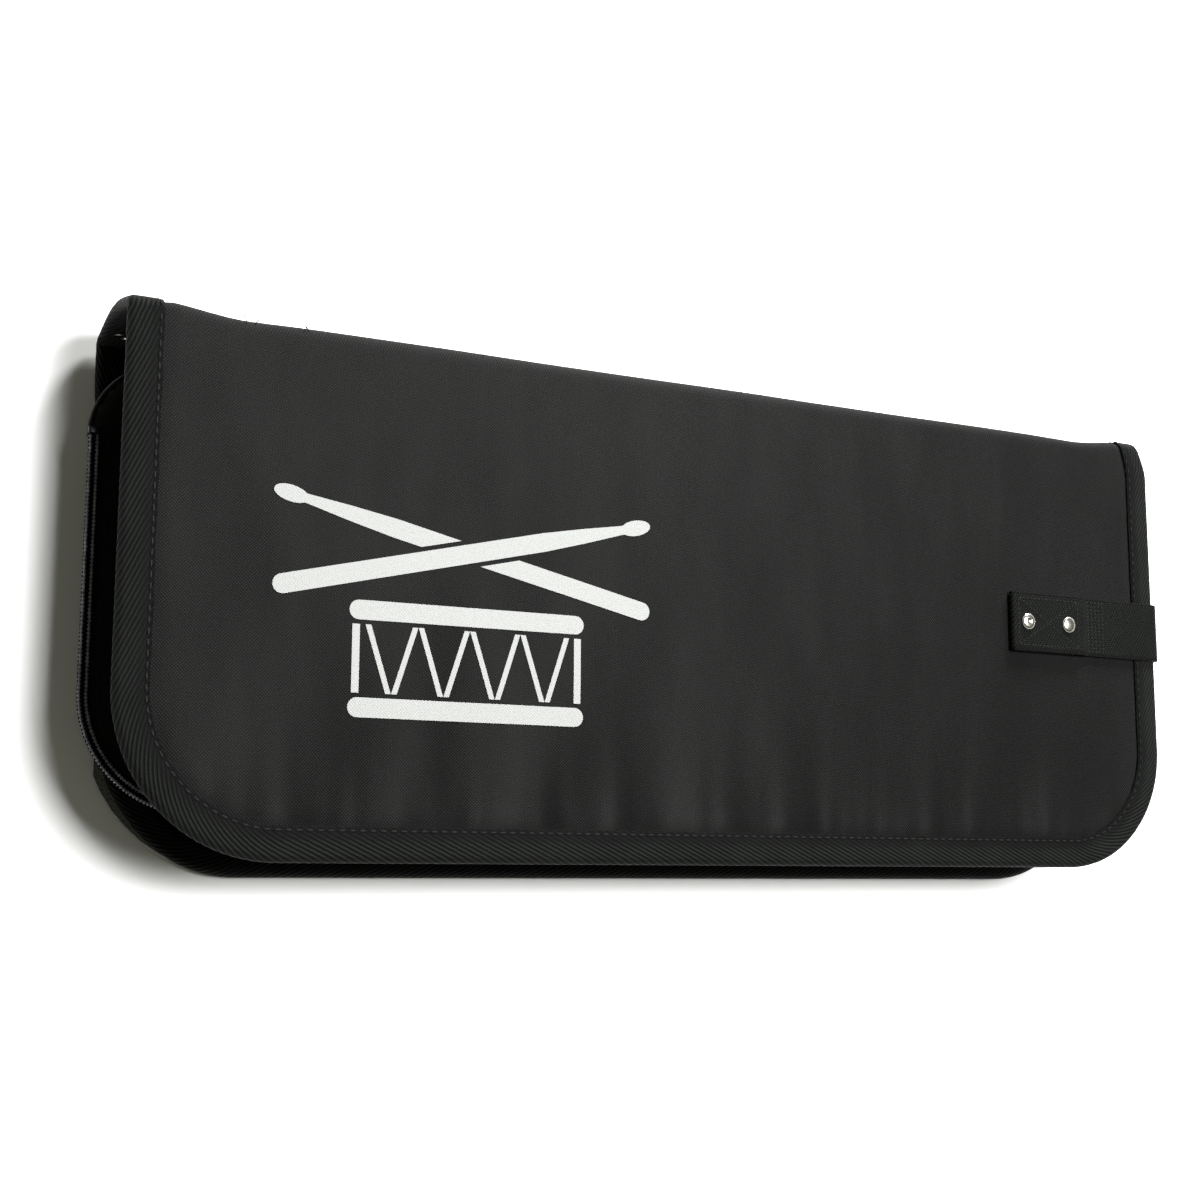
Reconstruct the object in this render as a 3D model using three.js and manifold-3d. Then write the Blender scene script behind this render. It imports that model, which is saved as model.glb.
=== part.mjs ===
// Drum stick bag: two padded leaves that fold together over a spine like a book.
// The back leaf carries a zipped accessory pocket, the front leaf carries three stick sleeves,
// and a riveted webbing strap comes round the right-hand end to hold the leaves shut.
// Millimetres, +Z up. The closed bag lies on its back leaf, +X along the sticks, +Y to the spine.

import * as THREE from 'three';
import { mergeVertices } from 'three/addons/utils/BufferGeometryUtils.js';
import Module from 'manifold-3d';

const wasm = await Module();
wasm.setup();

// ---- Driving dimensions -------------------------------------------------------------------

const BAG_LENGTH = 460;
const LEAF_WIDTH = 185;
const BACK_OVERHANG = 5;
const BAG_THICKNESS = 54;
const LEAF_THICKNESS = 4;
const FABRIC = 0.8;
const LEFT_CORNER = 58;
const RIGHT_CORNER = 52;
const BINDING_WIDTH = 12.5;

const LAYER_GAP = 0.3;          // between two pieces that are sewn together
const FOLD_CLEARANCE = 0.5;     // between a leaf's edge and the spine, past half a leaf's thickness
const RUN_CLEARANCE = 0.3;      // between pieces that move against each other
const HOLE_CLEARANCE = 0.3;     // all round a rivet or an eyelet

const SLEEVE_COUNT = 3;
const SLEEVE_FREE_MARGIN = 32.5;    // from the front leaf's free edge to the first sleeve
const SLEEVE_SPINE_MARGIN = 9.5;    // from the last sleeve to the fold edge
const SLEEVE_HEIGHT = 18.5;
const SLEEVE_FLANGE = 3;
const SLEEVE_CORNER = 5;
const SLEEVE_MOUTH = 110;       // from the bag's left end
const SLEEVE_SETBACK = 15;      // from the bag's right end to the sewn-down end

const POCKET_LENGTH = 306;
const POCKET_BULGE = 6;         // how far it stands out past the left edge of the leaves
const POCKET_BOTTOM_MARGIN = 16;
const POCKET_TOP_MARGIN = 7;
const POCKET_ZIP_CORNER = 42;
const POCKET_TOP_CORNER = 30;
const POCKET_END_CORNER = 20;
const GUSSET_LEAN = 8;          // the gusset's foot is set in by this much from its top

const COIL_WIDTH = 1.6;
const COIL_HEIGHT = 1.5;
const COIL_GAP = 1.2;           // room between the two coils for the slider's bridge
const TAPE = 0.6;
const TAPE_WIDTH = 8;
const TAPE_UNCOVERED = 2.2;     // width of the inner tape between the coil and the pocket cloth
const ZIP_START_MARGIN = 30;    // from the pocket's spine side to the zip's open end
const ZIP_END_MARGIN = 28;      // from the pocket's right end to the zip's closed end
const STOP_LENGTH = 2.5;

const SLIDER_LENGTH = 9;
const SLIDER_PLATE = 1.1;
const UNDER_SLIDER_GAP = 1.1;   // from the coils down to the slider's under plate
const SLIDER_LIP = 0.7;         // the top plate's overhang past each coil
const BRIDGE_WIDTH = 0.6;
const BAIL_HOLE = 1.3;
const BAIL_RING = 1;
const BAIL_WIDTH = 2;
const PULL_TIP_CLEARANCE = 1.4; // under the front leaf when the pull stands up
const PULL_WIDTH = 6.4;
const PULL_THICKNESS = 1.2;

const STRAP_WIDTH = 25.4;
const WEBBING = 1.6;
const STRAP_LENGTH = 84;        // on the front leaf, from the folded end to the right edge
const STRAP_FOLD = 38;          // length of the doubled end
const TAIL_RISE = 4.4;          // from the back leaf up to the end of the tail
const PATCH = 0.8;
const PATCH_LENGTH = 22;
const PATCH_MARGIN = 2;
const TAB_FOOT = 26;

const RIVET_CAP_RADIUS = 3.5;
const RIVET_CAP_HEIGHT = 1.4;
const RIVET_SHANK_RADIUS = 1.5;
const RIVET_SPACING = 22.4;
const RIVET_END_MARGIN = 8.4;   // from the strap's folded end to the first rivet
const BURR_RADIUS = 3.4;
const BURR_THICKNESS = 1.2;

const EYELET_HOLE = 1.5;
const EYELET_WALL = 0.5;
const EYELET_FLANGE = 3;
const EYELET_X = 7;
const EYELET_RISE = 12;         // above the back leaf's outer face

const ARC_STEPS = 14;
const ROUND_STEPS = 24;

// ---- Places worked out from them ----------------------------------------------------------

const layerStep = FABRIC + LAYER_GAP;
const foldSetback = LEAF_THICKNESS / 2 + FOLD_CLEARANCE;
const foldY = LEAF_WIDTH + foldSetback;
const spineInnerY = foldY - LEAF_THICKNESS / 2;
const spineOuterY = foldY + LEAF_THICKNESS / 2;
const spineLowZ = LEAF_THICKNESS / 2 + foldSetback;
const spineHighZ = BAG_THICKNESS - spineLowZ;
const frontZ = BAG_THICKNESS - LEAF_THICKNESS;

const sleeveTopZ = frontZ - LAYER_GAP;
const sleeveLowZ = sleeveTopZ - SLEEVE_HEIGHT;
const sleeveFirstY = SLEEVE_FREE_MARGIN;
const sleeveSpan = LEAF_WIDTH - SLEEVE_SPINE_MARGIN - sleeveFirstY;
const sleevePitch = sleeveSpan / SLEEVE_COUNT;
const sleeveEndX = BAG_LENGTH - SLEEVE_SETBACK;

const pocketFootZ = LEAF_THICKNESS + LAYER_GAP;
const sliderStand = RUN_CLEARANCE + SLIDER_PLATE + 2 * BAIL_HOLE + BAIL_RING;
const coilTopZ = sleeveLowZ - RUN_CLEARANCE - sliderStand;
const coilLowZ = coilTopZ - COIL_HEIGHT;
const pocket = {
  left: -POCKET_BULGE,
  right: POCKET_LENGTH - POCKET_BULGE,
  bottom: POCKET_BOTTOM_MARGIN,
  top: LEAF_WIDTH - POCKET_TOP_MARGIN,
};
const zipStartY = pocket.top - ZIP_START_MARGIN;
const zipEndX = pocket.right - ZIP_END_MARGIN;
const innerCoilInset = COIL_WIDTH + COIL_GAP;
const chainInset = innerCoilInset + COIL_WIDTH;
const chainCentreY = pocket.bottom + chainInset / 2;

const strapStartX = BAG_LENGTH - STRAP_LENGTH;
const strapCentreY = sleeveFirstY + sleeveSpan / 2;     // over the middle of the middle sleeve
const strapLowY = strapCentreY - STRAP_WIDTH / 2;
const strapHighY = strapCentreY + STRAP_WIDTH / 2;
const strapLowZ = BAG_THICKNESS + LAYER_GAP;
const strapBendX = BAG_LENGTH + LAYER_GAP;
const tailInnerX = strapBendX + LAYER_GAP;

// ---- Materials ----------------------------------------------------------------------------

function finish(color, roughness, metalness = 0) {
  return () => new THREE.MeshStandardMaterial({ color, roughness, metalness });
}

const coverCloth = finish(0x232326, 0.85);
const liningCloth = finish(0x19191b, 0.9);
const bindingTape = finish(0x2b2e2c, 0.8);
const foam = finish(0x3a3a3a, 0.95);
const webbing = finish(0x1b1b1d, 0.75);
const zipTape = finish(0x17171a, 0.85);
const zipCoil = finish(0x202226, 0.35);
const zipMetal = finish(0x2a2a2c, 0.35, 0.9);
const hookLoop = finish(0x141416, 0.95);
const nickel = finish(0xc9c6bd, 0.22, 1);

// ---- Shape helpers ------------------------------------------------------------------------

// A rectangle with its own radius at each corner; a radius of 0 leaves the corner square.
function roundedShape({ left, right, bottom, top }, [bottomLeft, bottomRight, topRight, topLeft]) {
  const shape = new THREE.Shape();
  const corner = (x, y, radius, start) => {
    if (radius > 0) shape.absarc(x, y, radius, start, start + Math.PI / 2, false);
  };
  shape.moveTo(left + bottomLeft, bottom);
  shape.lineTo(right - bottomRight, bottom);
  corner(right - bottomRight, bottom + bottomRight, bottomRight, -Math.PI / 2);
  shape.lineTo(right, top - topRight);
  corner(right - topRight, top - topRight, topRight, 0);
  shape.lineTo(left + topLeft, top);
  corner(left + topLeft, top - topLeft, topLeft, Math.PI / 2);
  shape.lineTo(left, bottom + bottomLeft);
  corner(left + bottomLeft, bottom + bottomLeft, bottomLeft, Math.PI);
  return shape;
}

function polygon(points) {
  return new THREE.Shape(points.map(([x, y]) => new THREE.Vector2(x, y)));
}

// Extrudes a shape along an axis. Shapes along x are drawn in (y, z), along y in (x, z).
function prism(shape, axis, from, to) {
  const geometry = new THREE.ExtrudeGeometry(shape, {
    depth: to - from,
    bevelEnabled: false,
    curveSegments: ARC_STEPS,
  });
  const [x, y, z] = [new THREE.Vector3(1, 0, 0), new THREE.Vector3(0, 1, 0), new THREE.Vector3(0, 0, 1)];
  if (axis === 'x') {
    return geometry.applyMatrix4(new THREE.Matrix4().makeBasis(y, z, x)).translate(from, 0, 0);
  }
  if (axis === 'y') {
    return geometry.applyMatrix4(new THREE.Matrix4().makeBasis(x, z, y.negate())).translate(0, to, 0);
  }
  return geometry.translate(0, 0, from);
}

function block(low, high) {
  const size = high.map((value, i) => value - low[i]);
  const middle = high.map((value, i) => (value + low[i]) / 2);
  return new THREE.BoxGeometry(...size).translate(...middle);
}

function rod(radius, x, y, fromZ, toZ) {
  return new THREE.CylinderGeometry(radius, radius, toZ - fromZ, ROUND_STEPS)
    .rotateX(Math.PI / 2)
    .translate(x, y, (fromZ + toZ) / 2);
}

function toSolid(geometry) {
  const bare = geometry.clone();
  bare.deleteAttribute('normal');
  bare.deleteAttribute('uv');
  const merged = mergeVertices(bare, 1e-4);
  return new wasm.Manifold(new wasm.Mesh({
    numProp: 3,
    vertProperties: merged.attributes.position.array,
    triVerts: new Uint32Array(merged.index.array),
  }));
}

function toGeometry(solid) {
  const mesh = solid.getMesh();
  const geometry = new THREE.BufferGeometry();
  geometry.setAttribute('position', new THREE.BufferAttribute(mesh.vertProperties, 3));
  geometry.setIndex(new THREE.BufferAttribute(mesh.triVerts, 1));
  geometry.computeVertexNormals();
  return geometry;
}

function cut(geometry, ...tools) {
  return toGeometry(tools.reduce((solid, tool) => solid.subtract(toSolid(tool)), toSolid(geometry)));
}

function join(geometry, ...others) {
  return toGeometry(others.reduce((solid, other) => solid.add(toSolid(other)), toSolid(geometry)));
}

const bag = new THREE.Group();

function piece(name, geometry, material) {
  const mesh = new THREE.Mesh(geometry, material());
  mesh.name = name;
  bag.add(mesh);
}

// ---- Leaves -------------------------------------------------------------------------------

// The outline of a leaf set in from its three free edges. The fold edge is never set in.
function leafShape(overhang, inset, foldEdge = LEAF_WIDTH) {
  const edges = {
    left: inset,
    right: BAG_LENGTH - inset,
    bottom: inset - overhang,
    top: foldEdge,
  };
  return roundedShape(edges, [LEFT_CORNER - inset, RIGHT_CORNER - inset, 0, 0]);
}

// A tape folded round the three free edges: two legs and a web, open towards the padding.
function leafBinding(overhang, lowZ) {
  const past = LEAF_WIDTH + 1;
  return cut(
    prism(leafShape(overhang, 0), 'z', lowZ, lowZ + LEAF_THICKNESS),
    prism(leafShape(overhang, BINDING_WIDTH, past), 'z', lowZ - 1, lowZ + LEAF_THICKNESS + 1),
    prism(leafShape(overhang, FABRIC, past), 'z', lowZ + FABRIC, lowZ + LEAF_THICKNESS - FABRIC),
  );
}

function sheetLayer(overhang, lowZ, holes = []) {
  const sheet = prism(leafShape(overhang, BINDING_WIDTH + LAYER_GAP), 'z', lowZ, lowZ + FABRIC);
  return holes.length ? cut(sheet, ...holes) : sheet;
}

function foamLayer(overhang, lowZ, holes = []) {
  const slab = prism(leafShape(overhang, layerStep), 'z', lowZ + layerStep, lowZ + LEAF_THICKNESS - layerStep);
  return holes.length ? cut(slab, ...holes) : slab;
}

const rivetXs = [0, 1].map((i) => strapStartX + RIVET_END_MARGIN + i * RIVET_SPACING);

function rivetHoles() {
  const [lowZ, highZ] = [frontZ - 1, strapLowZ + 2 * WEBBING + 1];
  return rivetXs.map((x) => rod(RIVET_SHANK_RADIUS + HOLE_CLEARANCE, x, strapCentreY, lowZ, highZ));
}

piece('back_cover', sheetLayer(BACK_OVERHANG, 0), coverCloth);
piece('back_foam', foamLayer(BACK_OVERHANG, 0), foam);
piece('back_lining', sheetLayer(BACK_OVERHANG, LEAF_THICKNESS - FABRIC), liningCloth);
piece('back_binding', leafBinding(BACK_OVERHANG, 0), bindingTape);

piece('front_cover', sheetLayer(0, BAG_THICKNESS - FABRIC, rivetHoles()), coverCloth);
piece('front_foam', foamLayer(0, frontZ, rivetHoles()), foam);
piece('front_lining', sheetLayer(0, frontZ, rivetHoles()), liningCloth);
piece('front_binding', leafBinding(0, frontZ), bindingTape);

// ---- Spine --------------------------------------------------------------------------------

const eyeletCut = () => rod(EYELET_HOLE + EYELET_WALL + HOLE_CLEARANCE, 0, 0, -LEAF_THICKNESS, LEAF_THICKNESS)
  .rotateX(Math.PI / 2)
  .translate(EYELET_X, foldY, EYELET_RISE);

const spineEdge = BINDING_WIDTH + LAYER_GAP;

piece(
  'spine_cover',
  block([spineEdge, spineOuterY - FABRIC, spineLowZ], [BAG_LENGTH - spineEdge, spineOuterY, spineHighZ]),
  coverCloth,
);
piece(
  'spine_lining',
  block([spineEdge, spineInnerY, spineLowZ], [BAG_LENGTH - spineEdge, spineInnerY + FABRIC, spineHighZ]),
  liningCloth,
);
piece(
  'spine_foam',
  cut(
    block(
      [layerStep, spineInnerY + layerStep, spineLowZ],
      [BAG_LENGTH - layerStep, spineOuterY - layerStep, spineHighZ],
    ),
    eyeletCut(),
  ),
  foam,
);

// The tape round one end of the spine. side is 1 at the left end and -1 at the right end.
function spineBinding(endX, side) {
  const web = endX + side * FABRIC;
  const reach = endX + side * BINDING_WIDTH;
  const section = polygon([
    [endX, spineInnerY],
    [reach, spineInnerY],
    [reach, spineInnerY + FABRIC],
    [web, spineInnerY + FABRIC],
    [web, spineOuterY - FABRIC],
    [reach, spineOuterY - FABRIC],
    [reach, spineOuterY],
    [endX, spineOuterY],
  ]);
  return prism(section, 'z', spineLowZ, spineHighZ);
}

piece('spine_binding_left', cut(spineBinding(0, 1), eyeletCut()), bindingTape);
piece('spine_binding_right', spineBinding(BAG_LENGTH, -1), bindingTape);

// A flanged tube through the binding and the padding, its axis across the spine.
function eyelet() {
  const bore = EYELET_HOLE;
  const barrel = EYELET_HOLE + EYELET_WALL;
  const seat = LEAF_THICKNESS / 2 + LAYER_GAP;
  const lip = seat + EYELET_WALL;
  const profile = [
    [bore, -lip], [EYELET_FLANGE, -lip], [EYELET_FLANGE, -seat], [barrel, -seat],
    [barrel, seat], [EYELET_FLANGE, seat], [EYELET_FLANGE, lip], [bore, lip], [bore, -lip],
  ];
  return new THREE.LatheGeometry(profile.map(([r, y]) => new THREE.Vector2(r, y)), ROUND_STEPS)
    .translate(EYELET_X, foldY, EYELET_RISE);
}

piece('spine_eyelet', eyelet(), nickel);

// ---- Stick sleeves on the front leaf ------------------------------------------------------

// One sleeve's section: a flange on each side and a round-cornered channel hanging between them.
function sleeveSection(lowY) {
  const highY = lowY + sleevePitch;
  const seam = LAYER_GAP / 2;
  const outerLeft = lowY + SLEEVE_FLANGE;
  const outerRight = highY - SLEEVE_FLANGE;
  const turnZ = sleeveLowZ + SLEEVE_CORNER;
  const flangeZ = sleeveTopZ - FABRIC;
  const inner = SLEEVE_CORNER - FABRIC;
  const shape = new THREE.Shape();
  shape.moveTo(lowY + seam, sleeveTopZ);
  shape.lineTo(lowY + seam, flangeZ);
  shape.lineTo(outerLeft, flangeZ);
  shape.lineTo(outerLeft, turnZ);
  shape.absarc(outerLeft + SLEEVE_CORNER, turnZ, SLEEVE_CORNER, Math.PI, 1.5 * Math.PI, false);
  shape.lineTo(outerRight - SLEEVE_CORNER, sleeveLowZ);
  shape.absarc(outerRight - SLEEVE_CORNER, turnZ, SLEEVE_CORNER, 1.5 * Math.PI, 2 * Math.PI, false);
  shape.lineTo(outerRight, flangeZ);
  shape.lineTo(highY - seam, flangeZ);
  shape.lineTo(highY - seam, sleeveTopZ);
  shape.lineTo(outerRight - FABRIC, sleeveTopZ);
  shape.lineTo(outerRight - FABRIC, turnZ);
  shape.absarc(outerRight - SLEEVE_CORNER, turnZ, inner, 2 * Math.PI, 1.5 * Math.PI, true);
  shape.lineTo(outerLeft + SLEEVE_CORNER, sleeveLowZ + FABRIC);
  shape.absarc(outerLeft + SLEEVE_CORNER, turnZ, inner, 1.5 * Math.PI, Math.PI, true);
  shape.lineTo(outerLeft + FABRIC, sleeveTopZ);
  return shape;
}

for (let i = 0; i < SLEEVE_COUNT; i += 1) {
  const section = sleeveSection(sleeveFirstY + i * sleevePitch);
  piece(`stick_sleeve_${i + 1}`, prism(section, 'x', SLEEVE_MOUTH, sleeveEndX), liningCloth);
}

piece(
  'sleeve_end_seam',
  block(
    [sleeveEndX + LAYER_GAP, sleeveFirstY + SLEEVE_FLANGE, sleeveLowZ],
    [sleeveEndX + LAYER_GAP + FABRIC, sleeveFirstY + sleeveSpan - SLEEVE_FLANGE, sleeveTopZ],
  ),
  liningCloth,
);

// ---- Zipped pocket on the back leaf -------------------------------------------------------

const pocketCorners = [POCKET_ZIP_CORNER, POCKET_END_CORNER, POCKET_END_CORNER, POCKET_TOP_CORNER];

function pocketShape(inset) {
  const edges = {
    left: pocket.left + inset,
    right: pocket.right - inset,
    bottom: pocket.bottom + inset,
    top: pocket.top - inset,
  };
  return roundedShape(edges, pocketCorners.map((radius) => radius - inset));
}

// A leaning wall round the pocket, from its foot on the leaf up to its top edge.
function gusset(topInset, footZ, topZ) {
  const ring = (inset, z) => pocketShape(inset).extractPoints(ARC_STEPS).shape
    .slice(0, -1)
    .map((p) => [p.x, p.y, z]);
  const rings = [
    ring(topInset + GUSSET_LEAN, footZ),
    ring(topInset, topZ),
    ring(topInset + FABRIC, topZ),
    ring(topInset + GUSSET_LEAN + FABRIC, footZ),
  ];
  const count = rings[0].length;
  const index = [];
  for (let r = 0; r < rings.length; r += 1) {
    const next = (r + 1) % rings.length;
    for (let i = 0; i < count; i += 1) {
      const j = (i + 1) % count;
      const [a, b, c, d] = [r * count + i, r * count + j, next * count + j, next * count + i];
      index.push(a, b, c, a, c, d);
    }
  }
  const geometry = new THREE.BufferGeometry();
  geometry.setAttribute('position', new THREE.Float32BufferAttribute(rings.flat(2), 3));
  geometry.setIndex(index);
  geometry.computeVertexNormals();
  return geometry;
}

// A band along the zip between two insets: down the left side, round the corner, to the closed end.
function zipBand(outer, inner) {
  const centreX = pocket.left + POCKET_ZIP_CORNER;
  const centreY = pocket.bottom + POCKET_ZIP_CORNER;
  const shape = new THREE.Shape();
  shape.moveTo(pocket.left + outer, zipStartY);
  shape.lineTo(pocket.left + outer, centreY);
  shape.absarc(centreX, centreY, POCKET_ZIP_CORNER - outer, Math.PI, 1.5 * Math.PI, false);
  shape.lineTo(zipEndX, pocket.bottom + outer);
  shape.lineTo(zipEndX, pocket.bottom + inner);
  shape.lineTo(centreX, pocket.bottom + inner);
  shape.absarc(centreX, centreY, POCKET_ZIP_CORNER - inner, 1.5 * Math.PI, Math.PI, true);
  shape.lineTo(pocket.left + inner, zipStartY);
  return shape;
}

const tapeHighZ = coilLowZ - LAYER_GAP;
const upperTapeInset = chainInset + LAYER_GAP;
const panelInset = upperTapeInset + TAPE_UNCOVERED;
const sliderLowZ = coilLowZ - UNDER_SLIDER_GAP - SLIDER_PLATE;
const gussetTopZ = sliderLowZ - 2 * RUN_CLEARANCE;

piece('zip_pocket_gusset', gusset(TAPE + LAYER_GAP, pocketFootZ, gussetTopZ), liningCloth);
piece('zip_pocket_panel', prism(pocketShape(panelInset), 'z', tapeHighZ - FABRIC, tapeHighZ), coverCloth);
piece('zip_tape_lower', prism(zipBand(0, TAPE), 'z', tapeHighZ - TAPE_WIDTH, tapeHighZ), zipTape);
piece(
  'zip_tape_upper',
  prism(zipBand(upperTapeInset, upperTapeInset + TAPE_WIDTH), 'z', coilLowZ, coilLowZ + TAPE),
  zipTape,
);
piece('zip_coil_lower', prism(zipBand(0, COIL_WIDTH), 'z', coilLowZ, coilTopZ), zipCoil);
piece('zip_coil_upper', prism(zipBand(innerCoilInset, chainInset), 'z', coilLowZ, coilTopZ), zipCoil);
piece(
  'zip_stop_open_end',
  block(
    [pocket.left, zipStartY + LAYER_GAP, coilLowZ],
    [pocket.left + chainInset, zipStartY + LAYER_GAP + STOP_LENGTH, coilTopZ],
  ),
  zipCoil,
);
piece(
  'zip_stop_closed_end',
  block(
    [zipEndX + LAYER_GAP, pocket.bottom, coilLowZ],
    [zipEndX + LAYER_GAP + STOP_LENGTH, pocket.bottom + chainInset, coilTopZ],
  ),
  zipCoil,
);

// ---- Zip slider and its pull --------------------------------------------------------------

const sliderX = zipEndX - SLIDER_LENGTH / 2 - RUN_CLEARANCE;
const sliderTopZ = coilTopZ + RUN_CLEARANCE + SLIDER_PLATE;
const bailZ = sliderTopZ + BAIL_HOLE;
const pullLength = frontZ - bailZ - PULL_TIP_CLEARANCE;

function slider() {
  const [lowX, highX] = [sliderX - SLIDER_LENGTH / 2, sliderX + SLIDER_LENGTH / 2];
  const overhang = chainInset / 2 + SLIDER_LIP;
  const underY = [pocket.bottom + TAPE + RUN_CLEARANCE, pocket.bottom + chainInset - RUN_CLEARANCE];
  const topPlate = block(
    [lowX, chainCentreY - overhang, coilTopZ + RUN_CLEARANCE],
    [highX, chainCentreY + overhang, sliderTopZ],
  );
  const bridge = block(
    [lowX + SLIDER_LENGTH / 3, chainCentreY - BRIDGE_WIDTH / 2, sliderLowZ],
    [highX - SLIDER_LENGTH / 3, chainCentreY + BRIDGE_WIDTH / 2, sliderTopZ],
  );
  const underPlate = block([lowX, underY[0], sliderLowZ], [highX, underY[1], sliderLowZ + SLIDER_PLATE]);
  const ring = new THREE.Shape().absarc(sliderX, bailZ, BAIL_HOLE + BAIL_RING, 0, 2 * Math.PI, false);
  ring.holes.push(new THREE.Path().absarc(sliderX, bailZ, BAIL_HOLE, 0, 2 * Math.PI, true));
  const bail = prism(ring, 'y', chainCentreY - BAIL_WIDTH / 2, chainCentreY + BAIL_WIDTH / 2);
  return join(topPlate, bridge, underPlate, bail);
}

// The pull lies back along the chain. Its end bar goes through the slider's bail.
function pull() {
  const bar = PULL_THICKNESS / 2;
  const windowLength = BAIL_HOLE + BAIL_RING + RUN_CLEARANCE;
  const windowHalf = BAIL_WIDTH / 2 + RUN_CLEARANCE;
  const edges = {
    left: sliderX - pullLength,
    right: sliderX + bar,
    bottom: chainCentreY - PULL_WIDTH / 2,
    top: chainCentreY + PULL_WIDTH / 2,
  };
  const shape = roundedShape(edges, [2, 0, 0, 2]);
  shape.holes.push(new THREE.Path([
    new THREE.Vector2(sliderX - bar - windowLength, chainCentreY - windowHalf),
    new THREE.Vector2(sliderX - bar - windowLength, chainCentreY + windowHalf),
    new THREE.Vector2(sliderX - bar, chainCentreY + windowHalf),
    new THREE.Vector2(sliderX - bar, chainCentreY - windowHalf),
  ]));
  return prism(shape, 'z', bailZ - bar, bailZ + bar);
}

piece('zip_slider', slider(), zipMetal);
piece('zip_pull', pull(), zipMetal);

// ---- Closure strap ------------------------------------------------------------------------

// The webbing on the front leaf, folded double under the rivets.
function strapBase() {
  const foldEndX = strapStartX + STRAP_FOLD;
  const singleZ = strapLowZ + WEBBING;
  const section = polygon([
    [strapStartX, strapLowZ],
    [strapBendX - WEBBING - 2 * RUN_CLEARANCE, strapLowZ],
    [strapBendX - WEBBING - 2 * RUN_CLEARANCE, singleZ],
    [foldEndX + 2 * WEBBING, singleZ],
    [foldEndX, singleZ + WEBBING],
    [strapStartX, singleZ + WEBBING],
  ]);
  return cut(prism(section, 'y', strapLowY, strapHighY), ...rivetHoles());
}

const tailTopZ = BAG_THICKNESS - WEBBING;
const tailLowZ = LEAF_THICKNESS + TAIL_RISE;
const patchLowY = strapLowY + PATCH_MARGIN;
const patchHighY = strapHighY - PATCH_MARGIN;
const patchLowZ = tailLowZ + PATCH_MARGIN;
const patchHighZ = patchLowZ + PATCH_LENGTH;
const hookInnerX = tailInnerX - LAYER_GAP - PATCH;
const loopInnerX = hookInnerX - RUN_CLEARANCE - PATCH;
const tabOuterX = loopInnerX - LAYER_GAP;

piece('strap_base', strapBase(), webbing);
piece(
  'strap_tail',
  block([tailInnerX, strapLowY, tailLowZ], [tailInnerX + WEBBING, strapHighY, tailTopZ]),
  webbing,
);
piece(
  'hook_patch',
  block([hookInnerX, patchLowY, patchLowZ], [hookInnerX + PATCH, patchHighY, patchHighZ]),
  hookLoop,
);
piece(
  'loop_patch',
  block([loopInnerX, patchLowY, patchLowZ], [loopInnerX + PATCH, patchHighY, patchHighZ]),
  hookLoop,
);

// A short webbing tab sewn inside the back leaf and turned up at its right end.
function closureTab() {
  const footZ = LEAF_THICKNESS + LAYER_GAP;
  const section = polygon([
    [tabOuterX - TAB_FOOT, footZ],
    [tabOuterX, footZ],
    [tabOuterX, patchHighZ],
    [tabOuterX - WEBBING, patchHighZ],
    [tabOuterX - WEBBING, footZ + WEBBING],
    [tabOuterX - TAB_FOOT, footZ + WEBBING],
  ]);
  return prism(section, 'y', strapLowY, strapHighY);
}

piece('closure_tab', closureTab(), webbing);

// ---- Rivets -------------------------------------------------------------------------------

// A domed cap with its shank, which ends in the burr inside the leaf.
function rivet(x) {
  const capZ = strapLowZ + 2 * WEBBING + LAYER_GAP;
  const endZ = frontZ - LAYER_GAP - BURR_THICKNESS;
  const profile = [
    [0, endZ], [RIVET_SHANK_RADIUS, endZ], [RIVET_SHANK_RADIUS, capZ], [RIVET_CAP_RADIUS, capZ],
  ];
  const domeSteps = 5;
  for (let i = 1; i <= domeSteps; i += 1) {
    const angle = (i / domeSteps) * (Math.PI / 2);
    profile.push([RIVET_CAP_RADIUS * Math.cos(angle), capZ + RIVET_CAP_HEIGHT * Math.sin(angle)]);
  }
  profile[profile.length - 1][0] = 0;
  return new THREE.LatheGeometry(profile.map(([r, z]) => new THREE.Vector2(r, z)), ROUND_STEPS)
    .rotateX(Math.PI / 2)
    .translate(x, strapCentreY, 0);
}

function burr(x) {
  const highZ = frontZ - LAYER_GAP;
  return cut(
    rod(BURR_RADIUS, x, strapCentreY, highZ - BURR_THICKNESS, highZ),
    rod(RIVET_SHANK_RADIUS + HOLE_CLEARANCE, x, strapCentreY, highZ - BURR_THICKNESS - 1, highZ + 1),
  );
}

rivetXs.forEach((x, i) => {
  piece(`rivet_${i + 1}`, rivet(x), nickel);
  piece(`rivet_burr_${i + 1}`, burr(x), nickel);
});

// ---- Frame: the origin is under the middle of the closed bag, on the surface it lies on ----

const extent = new THREE.Box3().setFromObject(bag);
const centre = extent.getCenter(new THREE.Vector3());
bag.position.set(-centre.x, -centre.y, -extent.min.z);

export default bag;
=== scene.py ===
import math
from collections import namedtuple

import bmesh
import bpy
from mathutils import Matrix, Vector, noise


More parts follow.
